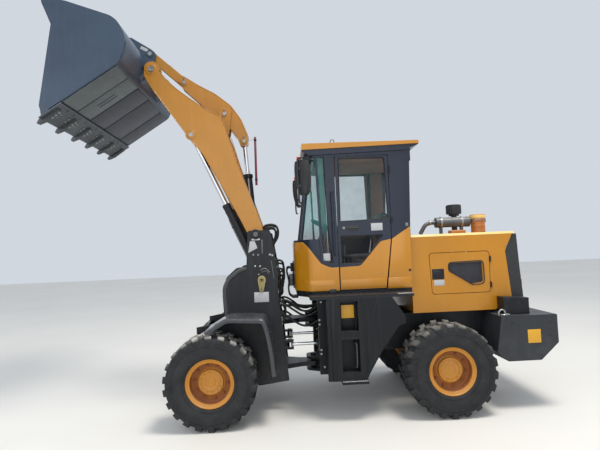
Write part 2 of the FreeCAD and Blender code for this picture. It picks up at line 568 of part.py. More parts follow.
for nm, z0, z1 in (("front_lug_up", 907, 957), ("front_lug_low", 395, 445)):
    pieces.append(slab(nm, front_lug_pts, z0, z1, holes=[(PX, 0, D["pivot_pin_radius"] + 0.3)]))
pieces += [
    cut("front_cross_rear", box("front_cross_rear_a", 1770, 1790, -416, 416, 395, 1180), box("shaft_gap", 1700, 1850, -80, 80, 515, 700)),
    box("front_cross_upper", 1771, 1791, -246, 246, 1180, 1740),
    box("front_cross_front", 2600, 2620, -416, 416, 631, 900),
    box("front_floor", 2240, 2620, -416, 416, 630, 655),
    box("front_cross_mid", 2280, 2300, -416, 416, 640, 1000),
]
for tag, s in (("l", 1), ("r", -1)):
    c0, c1 = sorted((s * 130, s * 246))
    pieces.append(box("hose_clamp_" + tag, 1832, 1900, c0, c1, 1962, 1986))
    pieces += [cyl("hose_union_a_" + tag, 17, 26, (1781, s * 150, 1739), (0, 0, 1)), cyl("hose_union_b_" + tag, 17, 26, (1781, s * 190, 1739), (0, 0, 1))]
shield = plate("tower_shield_strip", [(2326, 1080), (2336, 1285, 130), (2290, 1468, 100), (2215, 1534), (2208, 1526), (2283, 1460, 92), (2327, 1283, 122), (2317, 1080)], 410.5, 416)
pieces += [shield, mirror_y("tower_shield_r", shield)]
for tag, s in (("l", 1), ("r", -1)):
    y0, y1 = sorted((s * 238, s * 447))
    pieces += [pin_y("boom_pin_" + tag, PR - 0.3, AX, AZ, y0, y1), pin_y("lift_base_pin_" + tag, PR - 0.3, CX, CZ, y0, y1)]
    b0, b1 = sorted((s * 290, s * 370))
    pieces += [box("steer_front_up_" + tag, 1580, 1771, b0, b1, 730, 750), box("steer_front_low_" + tag, 1580, 1771, b0, b1, 650, 670),
               cyl("steer_pin_up_" + tag, 18, 26, (1620, s * 330, 730), (0, 0, 1)), cyl("steer_pin_low_" + tag, 18, 26, (1620, s * 330, 644), (0, 0, 1))]
node("front_frame", fuse("front_frame_all", pieces))
HOSES = [  # name, y, route in x and z with the radius of each bend
    ("hose_boom_a", 150, [(1781, 1765.3), (1781, 1840, 80), (1700, 1950, 80), (1715, 2062, 60), (1880, 2062, 50), (1880, 1986.3)]),
    ("hose_boom_b", 190, [(1781, 1765.3), (1781, 1850, 80), (1735, 1940, 50), (1745, 2030, 45), (1850, 2030, 35), (1850, 1986.3)]),
    ("hose_boom_c", -150, [(1781, 1765.3), (1781, 1840, 80), (1700, 1950, 80), (1715, 2062, 60), (1880, 2062, 50), (1880, 1986.3)]),
    ("hose_boom_d", -190, [(1781, 1765.3), (1781, 1850, 80), (1735, 1940, 50), (1745, 2030, 45), (1850, 2030, 35), (1850, 1986.3)]),
    ("hose_valve_a", 40, [(1770.7, 1640), (1660, 1640, 45), (1660, 1500, 45), (1770.7, 1500)]),
    ("hose_valve_b", -40, [(1770.7, 1600), (1655, 1600, 50), (1655, 1380, 50), (1770.7, 1380)]),
    ("hose_valve_c", 80, [(1770.7, 1440), (1690, 1440, 40), (1690, 1250, 40), (1770.7, 1250)]),
    ("hose_valve_d", -80, [(1770.7, 1330), (1690, 1330, 35), (1690, 1210, 35), (1770.7, 1210)]),
    ("hose_hinge_a", 62, [(1769.7, 1150), (1640, 1150, 100), (1480, 1085, 150), (1310, 1085, 90), (1240, 1140, 60), (1186, 1140)]),
    ("hose_hinge_b", 0, [(1769.7, 1100), (1640, 1100, 100), (1480, 1068, 150), (1300, 1068, 90), (1240, 1085, 60), (1186, 1085)]),
    ("hose_hinge_c", -62, [(1769.7, 1130), (1640, 1130, 100), (1480, 1075, 150), (1310, 1075, 90), (1240, 1120, 60), (1186, 1120)]),
]
node("front_hoses", group("front_hoses_all", [pipe(nm, pts, y, 12.5, pts[0][0] != pts[1][0]) for nm, y, pts in HOSES]))
node("tilt_base_pin", pin_y("tilt_base_pin_body", 26.7, TX, TZ, -84, 84))
fender_pts = [(2472, 967), (2262, 1081, 30), (1894, 1064, 70), (1838, 942, 220), (1792, 700), (1776, 511), (1768, 511), (1783, 702), (1829, 946, 230),
              (1886, 1076, 80), (2265, 1093, 30), (2479, 977)]
fender = fuse("fender_set", [plate("fender_skin", fender_pts, 470, 930),
                             box("fender_bracket", 1905, 1965, 435, 480, 985, 1071)])
both_sides("front_fenders", fender)

# ================================================================ boom
BX, BZ = D["bucket_pin_x"], D["bucket_pin_z"]
EX, EZ = D["lift_eye_x"], D["lift_eye_z"]
RX, RZ = D["rocker_pin_x"], D["rocker_pin_z"]
arm_pts = [(2985, 3962, 86), (3152, 3962, 80), (3152, 3790, 60), (3048, 3610), (2856, 3333), (2700, 3110), (2640, 3020, 30), (2520, 2876),
           (2254, 2380), (2040, 1950, 30), (1985, 1865, 70), (1890, 1900, 60), (1878, 2000), (2016, 2430), (2150, 2800), (2235, 3090),
           (2310, 3290, 60), (2440, 3372), (2536, 3436), (2808, 3650), (2985, 3846)]
cav_pts = [(3200, 4060), (2985, 4060), (2985, 3885), (2796, 3638), (2528, 3424), (2432, 3360), (2322, 3280), (2250, 3085),
           (2165, 2796), (2031, 2426), (1900, 2040), (1830, 2000), (1830, 1800), (2075, 1800), (2060, 1965), (2240, 2387), (2430, 2742),
           (2480, 2710), (2800, 3110), (2715, 3160), (2868, 3340), (3060, 3618), (3100, 3700), (3200, 3700)]
YO, WID, WALL = D["arm_outer_y"], D["arm_width"], D["arm_wall"]
arm_solid = plate("boom_arm_solid", arm_pts, YO - WID, YO)
arm_void = plate("boom_arm_void", cav_pts, YO - WID + WALL, YO - WALL)
arm_box = cut("boom_arm_box", arm_solid, arm_void)
hole_a = pin_y("boom_root_bore", PR + 0.0, AX, AZ, 200, 500)
hole_b = pin_y("boom_tip_bore", D["bucket_pin_radius"], BX, BZ, 200, 500)
eye_stub_a = pin_y("lift_eye_stub_in", D["linkage_pin_radius"], EX, EZ, YO - WID - 8, YO - WID + WALL)
eye_stub_b = pin_y("lift_eye_stub_out", D["linkage_pin_radius"], EX, EZ, YO - WALL, YO + 8)
root_boss = pin_y("boom_root_boss", 62, AX, AZ, YO - WID + 2, YO - 2)
arm_b = fuse("boom_arm_b", [arm_box, root_boss])
arm_c = cut("boom_arm_c", arm_b, fuse("boom_bores", [hole_a, hole_b]))
ear_pts = [(2215, 3455, 30), (2230, 3510, 60), (2340, 3520, 60), (2380, 3400), (2480, 3160), (2330, 3020), (2250, 3200)]
ear = plate("rocker_ear", ear_pts, 74, 94, holes=[(RX, RZ, D["linkage_pin_radius"])])
XT, ZT = 2390.0, 3080.0
cross = cyl("boom_cross_tube", 75, 2 * (YO - WID) + 4, (XT, -(YO - WID) - 2, ZT), (0, 1, 0))
arm_d = fuse("boom_arm_d", [arm_c, eye_stub_a, eye_stub_b])
node("boom", fuse("boom_all", [arm_d, mirror_y("boom_arm_r", arm_d), cross, ear, mirror_y("rocker_ear_r", ear)]))
node("rocker_pivot_pin", pin_y("rocker_pin", D["linkage_pin_radius"] - 0.3, RX, RZ, -104, 104))
node("bucket_hinge_pins", group("bucket_hinge_pins_all", [
    pin_y("bucket_pin_l", D["bucket_pin_radius"] - 0.3, BX, BZ, YO - WID - 8, YO + 8),
    pin_y("bucket_pin_r", D["bucket_pin_radius"] - 0.3, BX, BZ, -YO - 8, -YO + WID + 8)]))

# ================================================================ rocker, link
LX, LZ = D["link_rear_x"], D["link_rear_z"]
TEX, TEZ = D["tilt_eye_x"], D["tilt_eye_z"]
rocker_pts = [(2850, 3880, 40), (2800, 3930, 40), (2605, 3800), (2411, 3690), (2225, 3540, 120), (2105, 3365, 200), (2030, 3170, 60), (2035, 3040, 50),
              (2120, 3030, 50), (2170, 3160, 60), (2225, 3240, 60), (2290, 3330), (2400, 3400, 100), (2560, 3540), (2800, 3770, 40)]
rk = plate("rocker_plate", rocker_pts, 42, 62, holes=[(RX, RZ, 25.3)])
eye_cap = pin_y("tilt_eye_cap", D["linkage_pin_radius"], TEX, TEZ, 42, 72)
link_cap = pin_y("link_eye_cap", D["linkage_pin_radius"], LX, LZ, 42, 72)
node("rocker", fuse("rocker_all", [rk, mirror_y("rocker_plate_r", rk), eye_cap, mirror_y("tilt_eye_cap_r", eye_cap), link_cap, mirror_y("link_eye_cap_r", link_cap),
                                   cut("rocker_hub", pin_y("rocker_hub_o", 60, RX, RZ, -62, 62), pin_y("rocker_hub_i", 25.3, RX, RZ, -80, 80)),
                                   box("rocker_web", 2330, 2430, -50, 50, 3470, 3540)]))
FX, FZ = D["link_front_x"], D["link_front_z"]
ux, uz = FX - LX, FZ - LZ
ul = math.hypot(ux, uz)
ux, uz = ux / ul, uz / ul


def bar_outline(x0, z0, x1, z1, w0, w1):
    dx, dz = x1 - x0, z1 - z0
    d = math.hypot(dx, dz)
    dx, dz = dx / d, dz / d
    nx, nz = -dz, dx
    p = [(x0 - dx * w0 + nx * w0, z0 - dz * w0 + nz * w0, w0 * 0.98), (x0 - dx * w0 - nx * w0, z0 - dz * w0 - nz * w0, w0 * 0.98),
         (x1 + dx * w1 - nx * w1, z1 + dz * w1 - nz * w1, w1 * 0.98), (x1 + dx * w1 + nx * w1, z1 + dz * w1 + nz * w1, w1 * 0.98)]
    return p


node("tie_link", plate("tie_link_bar", bar_outline(LX, LZ, FX, FZ, 52, 48), -34, 34, holes=[(LX, LZ, 25.0), (FX, FZ, 25.0)]))

# ================================================================ bucket (profile in its own frame, then turned nose-down)
HX, HZ = 3176.0, 3749.0
ca, sa = math.cos(math.radians(D["bucket_floor_angle"])), math.sin(math.radians(D["bucket_floor_angle"]))


def bk(u, w):
    """Bucket frame (u along the floor to the blade, w above it) to X, Z."""
    return (HX + u * ca + w * sa, HZ - u * sa + w * ca)


def bkp(pts):
    out = []
    for p in pts:
        x, z = bk(p[0], p[1])
        out.append((x, z) + tuple(p[2:]))
    return out


BW = D["bucket_half_width"]
WRAP_OUT = [(985, 0), (60, 0, 110), (-150, 170, 200), (-190, 400, 260), (150, 830, 60), (325, 1010)]
WRAP_IN = [(316, 1019), (142, 840, 60), (-178, 404, 248), (-138, 175, 188), (62, 12, 98), (985, 12)]
t = D["bucket_wall"]
wrap_out = [(990, -10), (985, 14), (66, 14, 120), (-128, 180, 190), (-158, 400, 230), (160, 815, 40), (336, 1000), (325, 1012), (148, 829, 40), (-172, 404, 240), (-142, 172, 200), (60, 0, 130), (900, 0), (900, -10)]
wrapper = plate("bucket_wrapper", bkp(wrap_out), -BW + 1, BW - 1)
side_pts = [(990, -10), (950, 90), (393, 715, 60), (345, 960, 200), (325, 1012), (148, 829, 40), (-172, 404, 240), (-142, 172, 200), (60, 0, 130), (900, 0), (900, -10)]
bside = plate("bucket_side", bkp(side_pts), BW - 16, BW)
bx_l, bz_l = -150.0, 50.0
# pin positions in the bucket frame
def to_bucket(x, z):
    dx, dz = x - HX, z - HZ
    return (dx * ca - dz * sa, dx * sa + dz * ca)


bpu, bpw = to_bucket(BX, BZ)
dpu, dpw = to_bucket(FX, FZ)
lower_ear = plate("bucket_lower_ear", bkp([(bpu - 78, bpw - 55, 55), (bpu - 78, bpw + 70, 60), (-158, 300), (-100, 300), (-100, 60), (30, 2), (30, -2), (bpu + 20, bpw - 62, 40)]),
                  YO - WID + 22, YO - 22, holes=[(BX, BZ, D["bucket_pin_radius"] + 0.3)])
upper_ear = plate("bucket_upper_ear", bkp([(dpu - 62, dpw - 40, 45), (dpu - 46, dpw + 30, 40), (-174, 674, 30), (-62, 752, 20), (80, 735), (60, 700), (-120, 440), (-150, 240), (-165, 180)]),
                  44, 66, holes=[(FX, FZ, D["linkage_pin_radius"])])
inner_cut = plate("bucket_inner_space", bkp([(1100, 14.5), (66, 14.5, 120), (-127, 180, 190), (-157, 400, 230), (161, 815, 40), (337, 1000), (700, 1300), (1300, 600)]), -BW + 17, BW - 17)
ears = fuse("bucket_ears", [lower_ear, mirror_y("bucket_lower_ear_r", lower_ear), upper_ear, mirror_y("bucket_upper_ear_r", upper_ear)])
ears_cut = cut("bucket_ears_cut", ears, inner_cut)
node("bucket", fuse("bucket_all", [wrapper, bside, mirror_y("bucket_side_r", bside), ears_cut]))
node("bucket_upper_pin", pin_y("bucket_upper_pin_body", D["linkage_pin_radius"] - 0.3, FX, FZ, -76, 76))
node("cutting_edge", fuse("cutting_edge_all", [plate("edge_plate", bkp([(1030, -16), (1015, -24), (760, -24), (760, -10.3), (990.3, -10.3)]), -BW, BW)] ))
tooth_parts = []
for i in range(6):
    yc = -900.0 + 360.0 * i
    tooth_parts.append(plate("bucket_tooth_%d" % (i + 1), bkp([(830, -24.3), (830, -46), (1000, -52), (1085, -34), (1085, -24), (1050, -6), (1030.5, -4), (1030.3, -16.2), (1015.2, -24.3)]), yc - 30, yc + 30))
node("bucket_teeth", group("bucket_teeth_all", tooth_parts))

# ================================================================ cylinders
def cylinder_pair(tag, base, eye, y, r_barrel, r_rod, head, eye_w, base_w, r_base_pin, r_eye_pin, eye_r):
    """Barrel and rod along base->eye (X, Z); returns (barrel, rod)."""
    bx, bz = base
    ex, ez = eye
    d = math.hypot(ex - bx, ez - bz)
    dx, dz = (ex - bx) / d, (ez - bz) / d
    b0 = 10.0
    barrel = fuse(tag + "_barrel_all", [
        rod(tag + "_barrel_tube", r_barrel, (bx + dx * b0, y, bz + dz * b0), (bx + dx * head, y, bz + dz * head)),
        pin_y(tag + "_barrel_eye", r_barrel - 2, bx, bz, y - base_w, y + base_w)])
    bore1 = pin_y(tag + "_barrel_bore", r_base_pin, bx, bz, y - 200, y + 200)
    bore2 = rod(tag + "_rod_bore", r_rod + 0.3, (bx + dx * 80, y, bz + dz * 80), (bx + dx * (head + 20), y, bz + dz * (head + 20)))
    barrel = cut(tag + "_barrel_bored", cut(tag + "_barrel_eyed", barrel, bore1), bore2)
    rodp = fuse(tag + "_rod_all", [
        rod(tag + "_rod_bar", r_rod, (bx + dx * ROD_IN[tag], y, bz + dz * ROD_IN[tag]), (ex - dx * 20, y, ez - dz * 20)),
        pin_y(tag + "_rod_eye", eye_r, ex, ez, y - eye_w, y + eye_w)])
    rodp = cut(tag + "_rod_cut", rodp, pin_y(tag + "_eye_bore", r_eye_pin, ex, ez, y - 200, y + 200))
    return barrel, rodp


# rod end depth inside the barrel at rest, from the base pin
ROD_IN = {"lift": 900.0, "tilt": 900.0, "steer_left": 340.0, "steer_right": 340.0}
yl = YO - WID / 2
lb, lr = cylinder_pair("lift", (CX, CZ), (EX, EZ), yl, 45, 27, 968, 46, 45, PR, 25.3, 43)
both_sides("lift_cylinder_barrels", lb)
both_sides("lift_cylinder_rods", lr)
tb, tr = cylinder_pair("tilt", (TX, TZ), (TEX, TEZ), 0.0, 50, 26, 1070, 36, 54, 27.0, 25.3, 44)
node("tilt_cylinder_barrel", tb)
node("tilt_cylinder_rod", fuse("tilt_rod_and_indicator", [tr, rod("indicator_tube", 11, (1948, 0, 3150), (1952, 0, 2560)),
                                                         rod("indicator_arm", 8, (1948, 0, 3140), (2040, 0, 3110))]))
# steering cylinders lie flat beside the hinge
for tag, s in (("left", 1), ("right", -1)):
    p0, p1 = (800.0, s * 300.0), (1620.0, s * 330.0)
    z = 700.0
    d = math.hypot(p1[0] - p0[0], p1[1] - p0[1])
    dx, dy = (p1[0] - p0[0]) / d, (p1[1] - p0[1]) / d
    nm = "steer_" + tag
    bar = fuse(nm + "_barrel_all", [rod(nm + "_tube", 34, (p0[0] + dx * 20, p0[1] + dy * 20, z), (p0[0] + dx * 520, p0[1] + dy * 520, z)),
                                    cyl(nm + "_base_eye", 34, 60, (p0[0], p0[1], z - 30), (0, 0, 1))])
    bar = cut(nm + "_barrel_cut", bar, fuse(nm + "_bores", [
        cyl(nm + "_base_bore", 18.3, 100, (p0[0], p0[1], z - 50), (0, 0, 1)),
        rod(nm + "_rod_bore", 18.3, (p0[0] + dx * 50, p0[1] + dy * 50, z), (p0[0] + dx * 540, p0[1] + dy * 540, z))]))
    node("steering_barrel_" + tag, bar)
    rr = fuse(nm + "_rod_all", [rod(nm + "_bar", 18, (p0[0] + dx * 300, p0[1] + dy * 300, z), (p1[0] - dx * 15, p1[1] - dy * 15, z)),
                                cyl(nm + "_eye", 32, 50, (p1[0], p1[1], z - 25), (0, 0, 1))])
    rr = cut(nm + "_rod_cut", rr, cyl(nm + "_eye_bore", 18.3, 100, (p1[0], p1[1], z - 50), (0, 0, 1)))
    node("steering_rod_" + tag, rr)
# ================================================================ recompute, test, write
doc.recompute()
bad = [o.Name for o in doc.Objects if ("Invalid" in o.State or "Error" in o.State)]
if bad:
    raise RuntimeError("failed objects: %s" % bad)
box_all = None
for label, obj in NODES:
    sh = obj.Shape
    if sh.isNull() or not sh.isValid():
        raise RuntimeError("bad shape: %s" % label)
    if not sh.Solids:
        raise RuntimeError("no solid: %s" % label)
    bb = sh.BoundBox
    box_all = bb if box_all is None else box_all.united(bb)
for label, obj in NODES:
    obj.Shape.exportStep("parts/%s.step" % label)
print("nodes", len(NODES), "box x %.1f %.1f y %.1f %.1f z %.1f %.1f" % (
    box_all.XMin, box_all.XMax, box_all.YMin, box_all.YMax, box_all.ZMin, box_all.ZMax))
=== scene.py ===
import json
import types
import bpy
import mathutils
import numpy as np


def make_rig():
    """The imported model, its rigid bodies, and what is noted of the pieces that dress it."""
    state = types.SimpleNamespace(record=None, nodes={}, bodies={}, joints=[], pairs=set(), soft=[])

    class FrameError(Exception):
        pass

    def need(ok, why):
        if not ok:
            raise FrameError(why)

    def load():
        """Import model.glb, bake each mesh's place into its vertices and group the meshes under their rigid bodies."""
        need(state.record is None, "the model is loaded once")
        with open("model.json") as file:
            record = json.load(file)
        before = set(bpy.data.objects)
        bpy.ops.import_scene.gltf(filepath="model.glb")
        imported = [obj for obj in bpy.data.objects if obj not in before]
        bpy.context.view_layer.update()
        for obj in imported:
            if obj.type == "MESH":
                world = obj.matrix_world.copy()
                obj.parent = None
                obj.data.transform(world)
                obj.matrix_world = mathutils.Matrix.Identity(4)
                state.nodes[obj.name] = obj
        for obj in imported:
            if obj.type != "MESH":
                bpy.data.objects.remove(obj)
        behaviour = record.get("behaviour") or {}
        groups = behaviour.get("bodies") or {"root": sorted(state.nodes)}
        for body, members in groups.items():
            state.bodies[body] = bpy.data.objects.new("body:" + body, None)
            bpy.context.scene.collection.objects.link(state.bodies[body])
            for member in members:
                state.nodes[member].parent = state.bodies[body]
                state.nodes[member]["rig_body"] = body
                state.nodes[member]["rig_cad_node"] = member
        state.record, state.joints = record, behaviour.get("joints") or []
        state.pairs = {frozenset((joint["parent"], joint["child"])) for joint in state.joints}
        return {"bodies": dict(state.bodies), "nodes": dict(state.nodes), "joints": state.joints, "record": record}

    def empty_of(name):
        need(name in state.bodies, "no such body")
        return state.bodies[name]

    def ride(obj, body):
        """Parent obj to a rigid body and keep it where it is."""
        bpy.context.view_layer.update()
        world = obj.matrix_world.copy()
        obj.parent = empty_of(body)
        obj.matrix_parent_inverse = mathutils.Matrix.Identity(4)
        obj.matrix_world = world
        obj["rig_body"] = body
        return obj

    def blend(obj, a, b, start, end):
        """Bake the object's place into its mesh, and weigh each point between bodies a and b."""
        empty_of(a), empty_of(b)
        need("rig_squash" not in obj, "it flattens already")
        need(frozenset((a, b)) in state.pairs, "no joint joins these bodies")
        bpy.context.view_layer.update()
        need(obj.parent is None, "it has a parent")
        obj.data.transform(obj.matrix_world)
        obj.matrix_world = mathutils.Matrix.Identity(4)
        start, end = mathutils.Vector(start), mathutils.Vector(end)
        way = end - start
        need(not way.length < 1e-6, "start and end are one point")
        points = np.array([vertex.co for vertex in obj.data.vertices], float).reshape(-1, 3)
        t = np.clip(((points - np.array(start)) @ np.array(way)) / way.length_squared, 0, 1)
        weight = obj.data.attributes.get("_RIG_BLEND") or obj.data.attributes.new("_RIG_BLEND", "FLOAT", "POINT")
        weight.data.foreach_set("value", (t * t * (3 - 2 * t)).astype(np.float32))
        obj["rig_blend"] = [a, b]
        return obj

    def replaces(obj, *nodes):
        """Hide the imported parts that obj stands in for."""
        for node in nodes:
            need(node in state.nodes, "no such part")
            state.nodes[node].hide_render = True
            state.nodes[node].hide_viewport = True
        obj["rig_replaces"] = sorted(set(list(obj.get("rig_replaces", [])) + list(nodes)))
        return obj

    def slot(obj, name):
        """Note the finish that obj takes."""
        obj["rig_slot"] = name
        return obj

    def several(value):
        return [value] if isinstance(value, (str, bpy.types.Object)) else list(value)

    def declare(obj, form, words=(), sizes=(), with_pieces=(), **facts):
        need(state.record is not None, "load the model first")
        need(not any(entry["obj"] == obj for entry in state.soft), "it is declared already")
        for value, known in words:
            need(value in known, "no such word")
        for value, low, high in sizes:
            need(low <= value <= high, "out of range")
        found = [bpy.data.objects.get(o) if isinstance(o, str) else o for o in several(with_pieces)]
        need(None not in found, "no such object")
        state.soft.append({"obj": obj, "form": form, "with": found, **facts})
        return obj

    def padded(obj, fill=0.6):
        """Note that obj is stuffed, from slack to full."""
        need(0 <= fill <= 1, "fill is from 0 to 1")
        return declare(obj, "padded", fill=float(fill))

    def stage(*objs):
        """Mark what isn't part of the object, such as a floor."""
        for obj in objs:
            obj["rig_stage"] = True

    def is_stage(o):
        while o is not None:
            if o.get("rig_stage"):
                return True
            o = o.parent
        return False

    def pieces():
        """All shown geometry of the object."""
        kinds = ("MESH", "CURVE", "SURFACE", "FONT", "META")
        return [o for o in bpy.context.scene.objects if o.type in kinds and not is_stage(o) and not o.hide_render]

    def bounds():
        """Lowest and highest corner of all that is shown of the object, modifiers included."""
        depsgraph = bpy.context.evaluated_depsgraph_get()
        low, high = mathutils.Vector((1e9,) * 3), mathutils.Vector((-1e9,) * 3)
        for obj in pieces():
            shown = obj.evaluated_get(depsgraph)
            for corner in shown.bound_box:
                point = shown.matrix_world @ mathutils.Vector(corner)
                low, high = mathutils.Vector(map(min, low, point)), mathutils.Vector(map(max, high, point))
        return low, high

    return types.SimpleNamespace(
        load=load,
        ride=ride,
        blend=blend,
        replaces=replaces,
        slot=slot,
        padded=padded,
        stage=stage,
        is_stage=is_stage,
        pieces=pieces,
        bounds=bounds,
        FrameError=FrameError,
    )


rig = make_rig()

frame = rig.load()        # bodies, nodes, joints, record

import bpy, bmesh, math, random, json
from mathutils import Vector, Matrix, Quaternion

CAD_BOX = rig.bounds()
SHIFT = 1.44845          # metres from the rear axle to the frame's origin
rnd = random.Random(7)


def m(x, y, z):
    """Millimetres measured from the rear axle to row-frame metres."""
    return Vector((x / 1000.0 - SHIFT, y / 1000.0, z / 1000.0))


# ------------------------------------------------------------------ camera
cam_data = bpy.data.cameras.new("camera")
cam_obj = bpy.data.objects.new("camera", cam_data)
bpy.context.scene.collection.objects.link(cam_obj)
bpy.context.scene.camera = cam_obj
cam_data.sensor_fit = "HORIZONTAL"
cam_data.sensor_width = 36.0
cam_data.lens = 451.8976 / 600.0 * 36.0
cam_data.clip_start, cam_data.clip_end = 0.05, 200.0
YAW, PITCH, ROLL = -0.03375863, 0.05319084, -0.04213931
right, ahead, up = Vector((-1, 0, 0)), Vector((0, -1, 0)), Vector((0, 0, 1))
rz = Matrix.Rotation(YAW, 3, "Z")
right, ahead = rz @ right, rz @ ahead
ahead, up = (ahead * math.cos(PITCH) + up * math.sin(PITCH)), (up * math.cos(PITCH) - ahead * math.sin(PITCH))
right, up = (right * math.cos(ROLL) + up * math.sin(ROLL)), (up * math.cos(ROLL) - right * math.sin(ROLL))
rot = Matrix((right, up, -ahead)).transposed().to_4x4()
cam_obj.matrix_world = Matrix.Translation(Vector((1.62809530 - SHIFT, 5.47966400, 1.76282861))) @ rot

# ------------------------------------------------------------------ light and floor
bpy.context.scene.view_settings.view_transform = "Standard"
world = bpy.data.worlds.new("studio")
bpy.context.scene.world = world
world.use_nodes = True
bg = world.node_tree.nodes["Background"]
bg.inputs["Color"].default_value = (0.86, 0.92, 1.0, 1.0)
bg.inputs["Strength"].default_value = 0.74


def area(name, loc, target, size, power, color=(1, 1, 1)):
    d = bpy.data.lights.new(name, "AREA")
    d.shape, d.size, d.size_y, d.energy, d.color = "RECTANGLE", size[0], size[1], power, color
    o = bpy.data.objects.new(name, d)
    bpy.context.scene.collection.objects.link(o)
    o.location = loc
    o.rotation_mode = "QUATERNION"
    o.rotation_quaternion = (Vector(target) - Vector(loc)).to_track_quat("-Z", "Y")
    return o


area("sun_soft", (-2.5, 3.0, 11.0), (0, 0, 1.2), (3.0, 3.0), 800, (1.0, 0.96, 0.88))
area("front_fill", (0.5, 10.5, 3.6), (0, 0, 1.6), (9.0, 5.0), 150, (0.97, 0.98, 1.0))
area("left_fill", (8.0, 6.0, 4.5), (0.3, 0, 1.6), (5.0, 4.0), 150, (0.95, 0.98, 1.0))


# ------------------------------------------------------------------ materials
def nodes_of(name):
    mt = bpy.data.materials.new(name)
    mt.use_nodes = True
    nt = mt.node_tree
    for n in list(nt.nodes):
        nt.nodes.remove(n)
    out = nt.nodes.new("ShaderNodeOutputMaterial")
    b = nt.nodes.new("ShaderNodeBsdfPrincipled")
    nt.links.new(b.outputs["BSDF"], out.inputs["Surface"])
    return mt, nt, b


def ramp(nt, src, stops):
    r = nt.nodes.new("ShaderNodeValToRGB")
    nt.links.new(src, r.inputs["Fac"])
    el = r.color_ramp.elements
    el[0].position, el[0].color = stops[0][0], stops[0][1]
    el[1].position, el[1].color = stops[-1][0], stops[-1][1]
    for p, c in stops[1:-1]:
        e = el.new(p)
        e.color = c
    return r.outputs["Color"]


def noise(nt, vec, scale, detail=4.0, rough=0.55, distort=0.0):
    n = nt.nodes.new("ShaderNodeTexNoise")
    n.inputs["Scale"].default_value = scale
    n.inputs["Detail"].default_value = detail
    n.inputs["Roughness"].default_value = rough
    n.inputs["Distortion"].default_value = distort
    nt.links.new(vec, n.inputs["Vector"])
    return n.outputs["Fac"]


def mix(nt, fac, a, b, mode="MIX"):
    x = nt.nodes.new("ShaderNodeMix")
    x.data_type = "RGBA"
    x.blend_type = mode
    for sock, v in (("Factor", fac), ("A", a), ("B", b)):
        s = [i for i in x.inputs if i.name == sock and (sock == "Factor" and i.type == "VALUE" or sock != "Factor" and i.type == "RGBA")][0]
        if isinstance(v, (int, float)):
            s.default_value = v
        elif isinstance(v, tuple):
            s.default_value = v
        else:
            nt.links.new(v, s)
    return [o for o in x.outputs if o.type == "RGBA"][0]


def math_node(nt, op, a, b=None):
    x = nt.nodes.new("ShaderNodeMath")
    x.operation = op
    for i, v in enumerate((a, b)):
        if v is None:
            continue
        if isinstance(v, (int, float)):
            x.inputs[i].default_value = v
        else:
            nt.links.new(v, x.inputs[i])
    return x.outputs[0]


def g(v):
    return (v, v, v, 1.0)


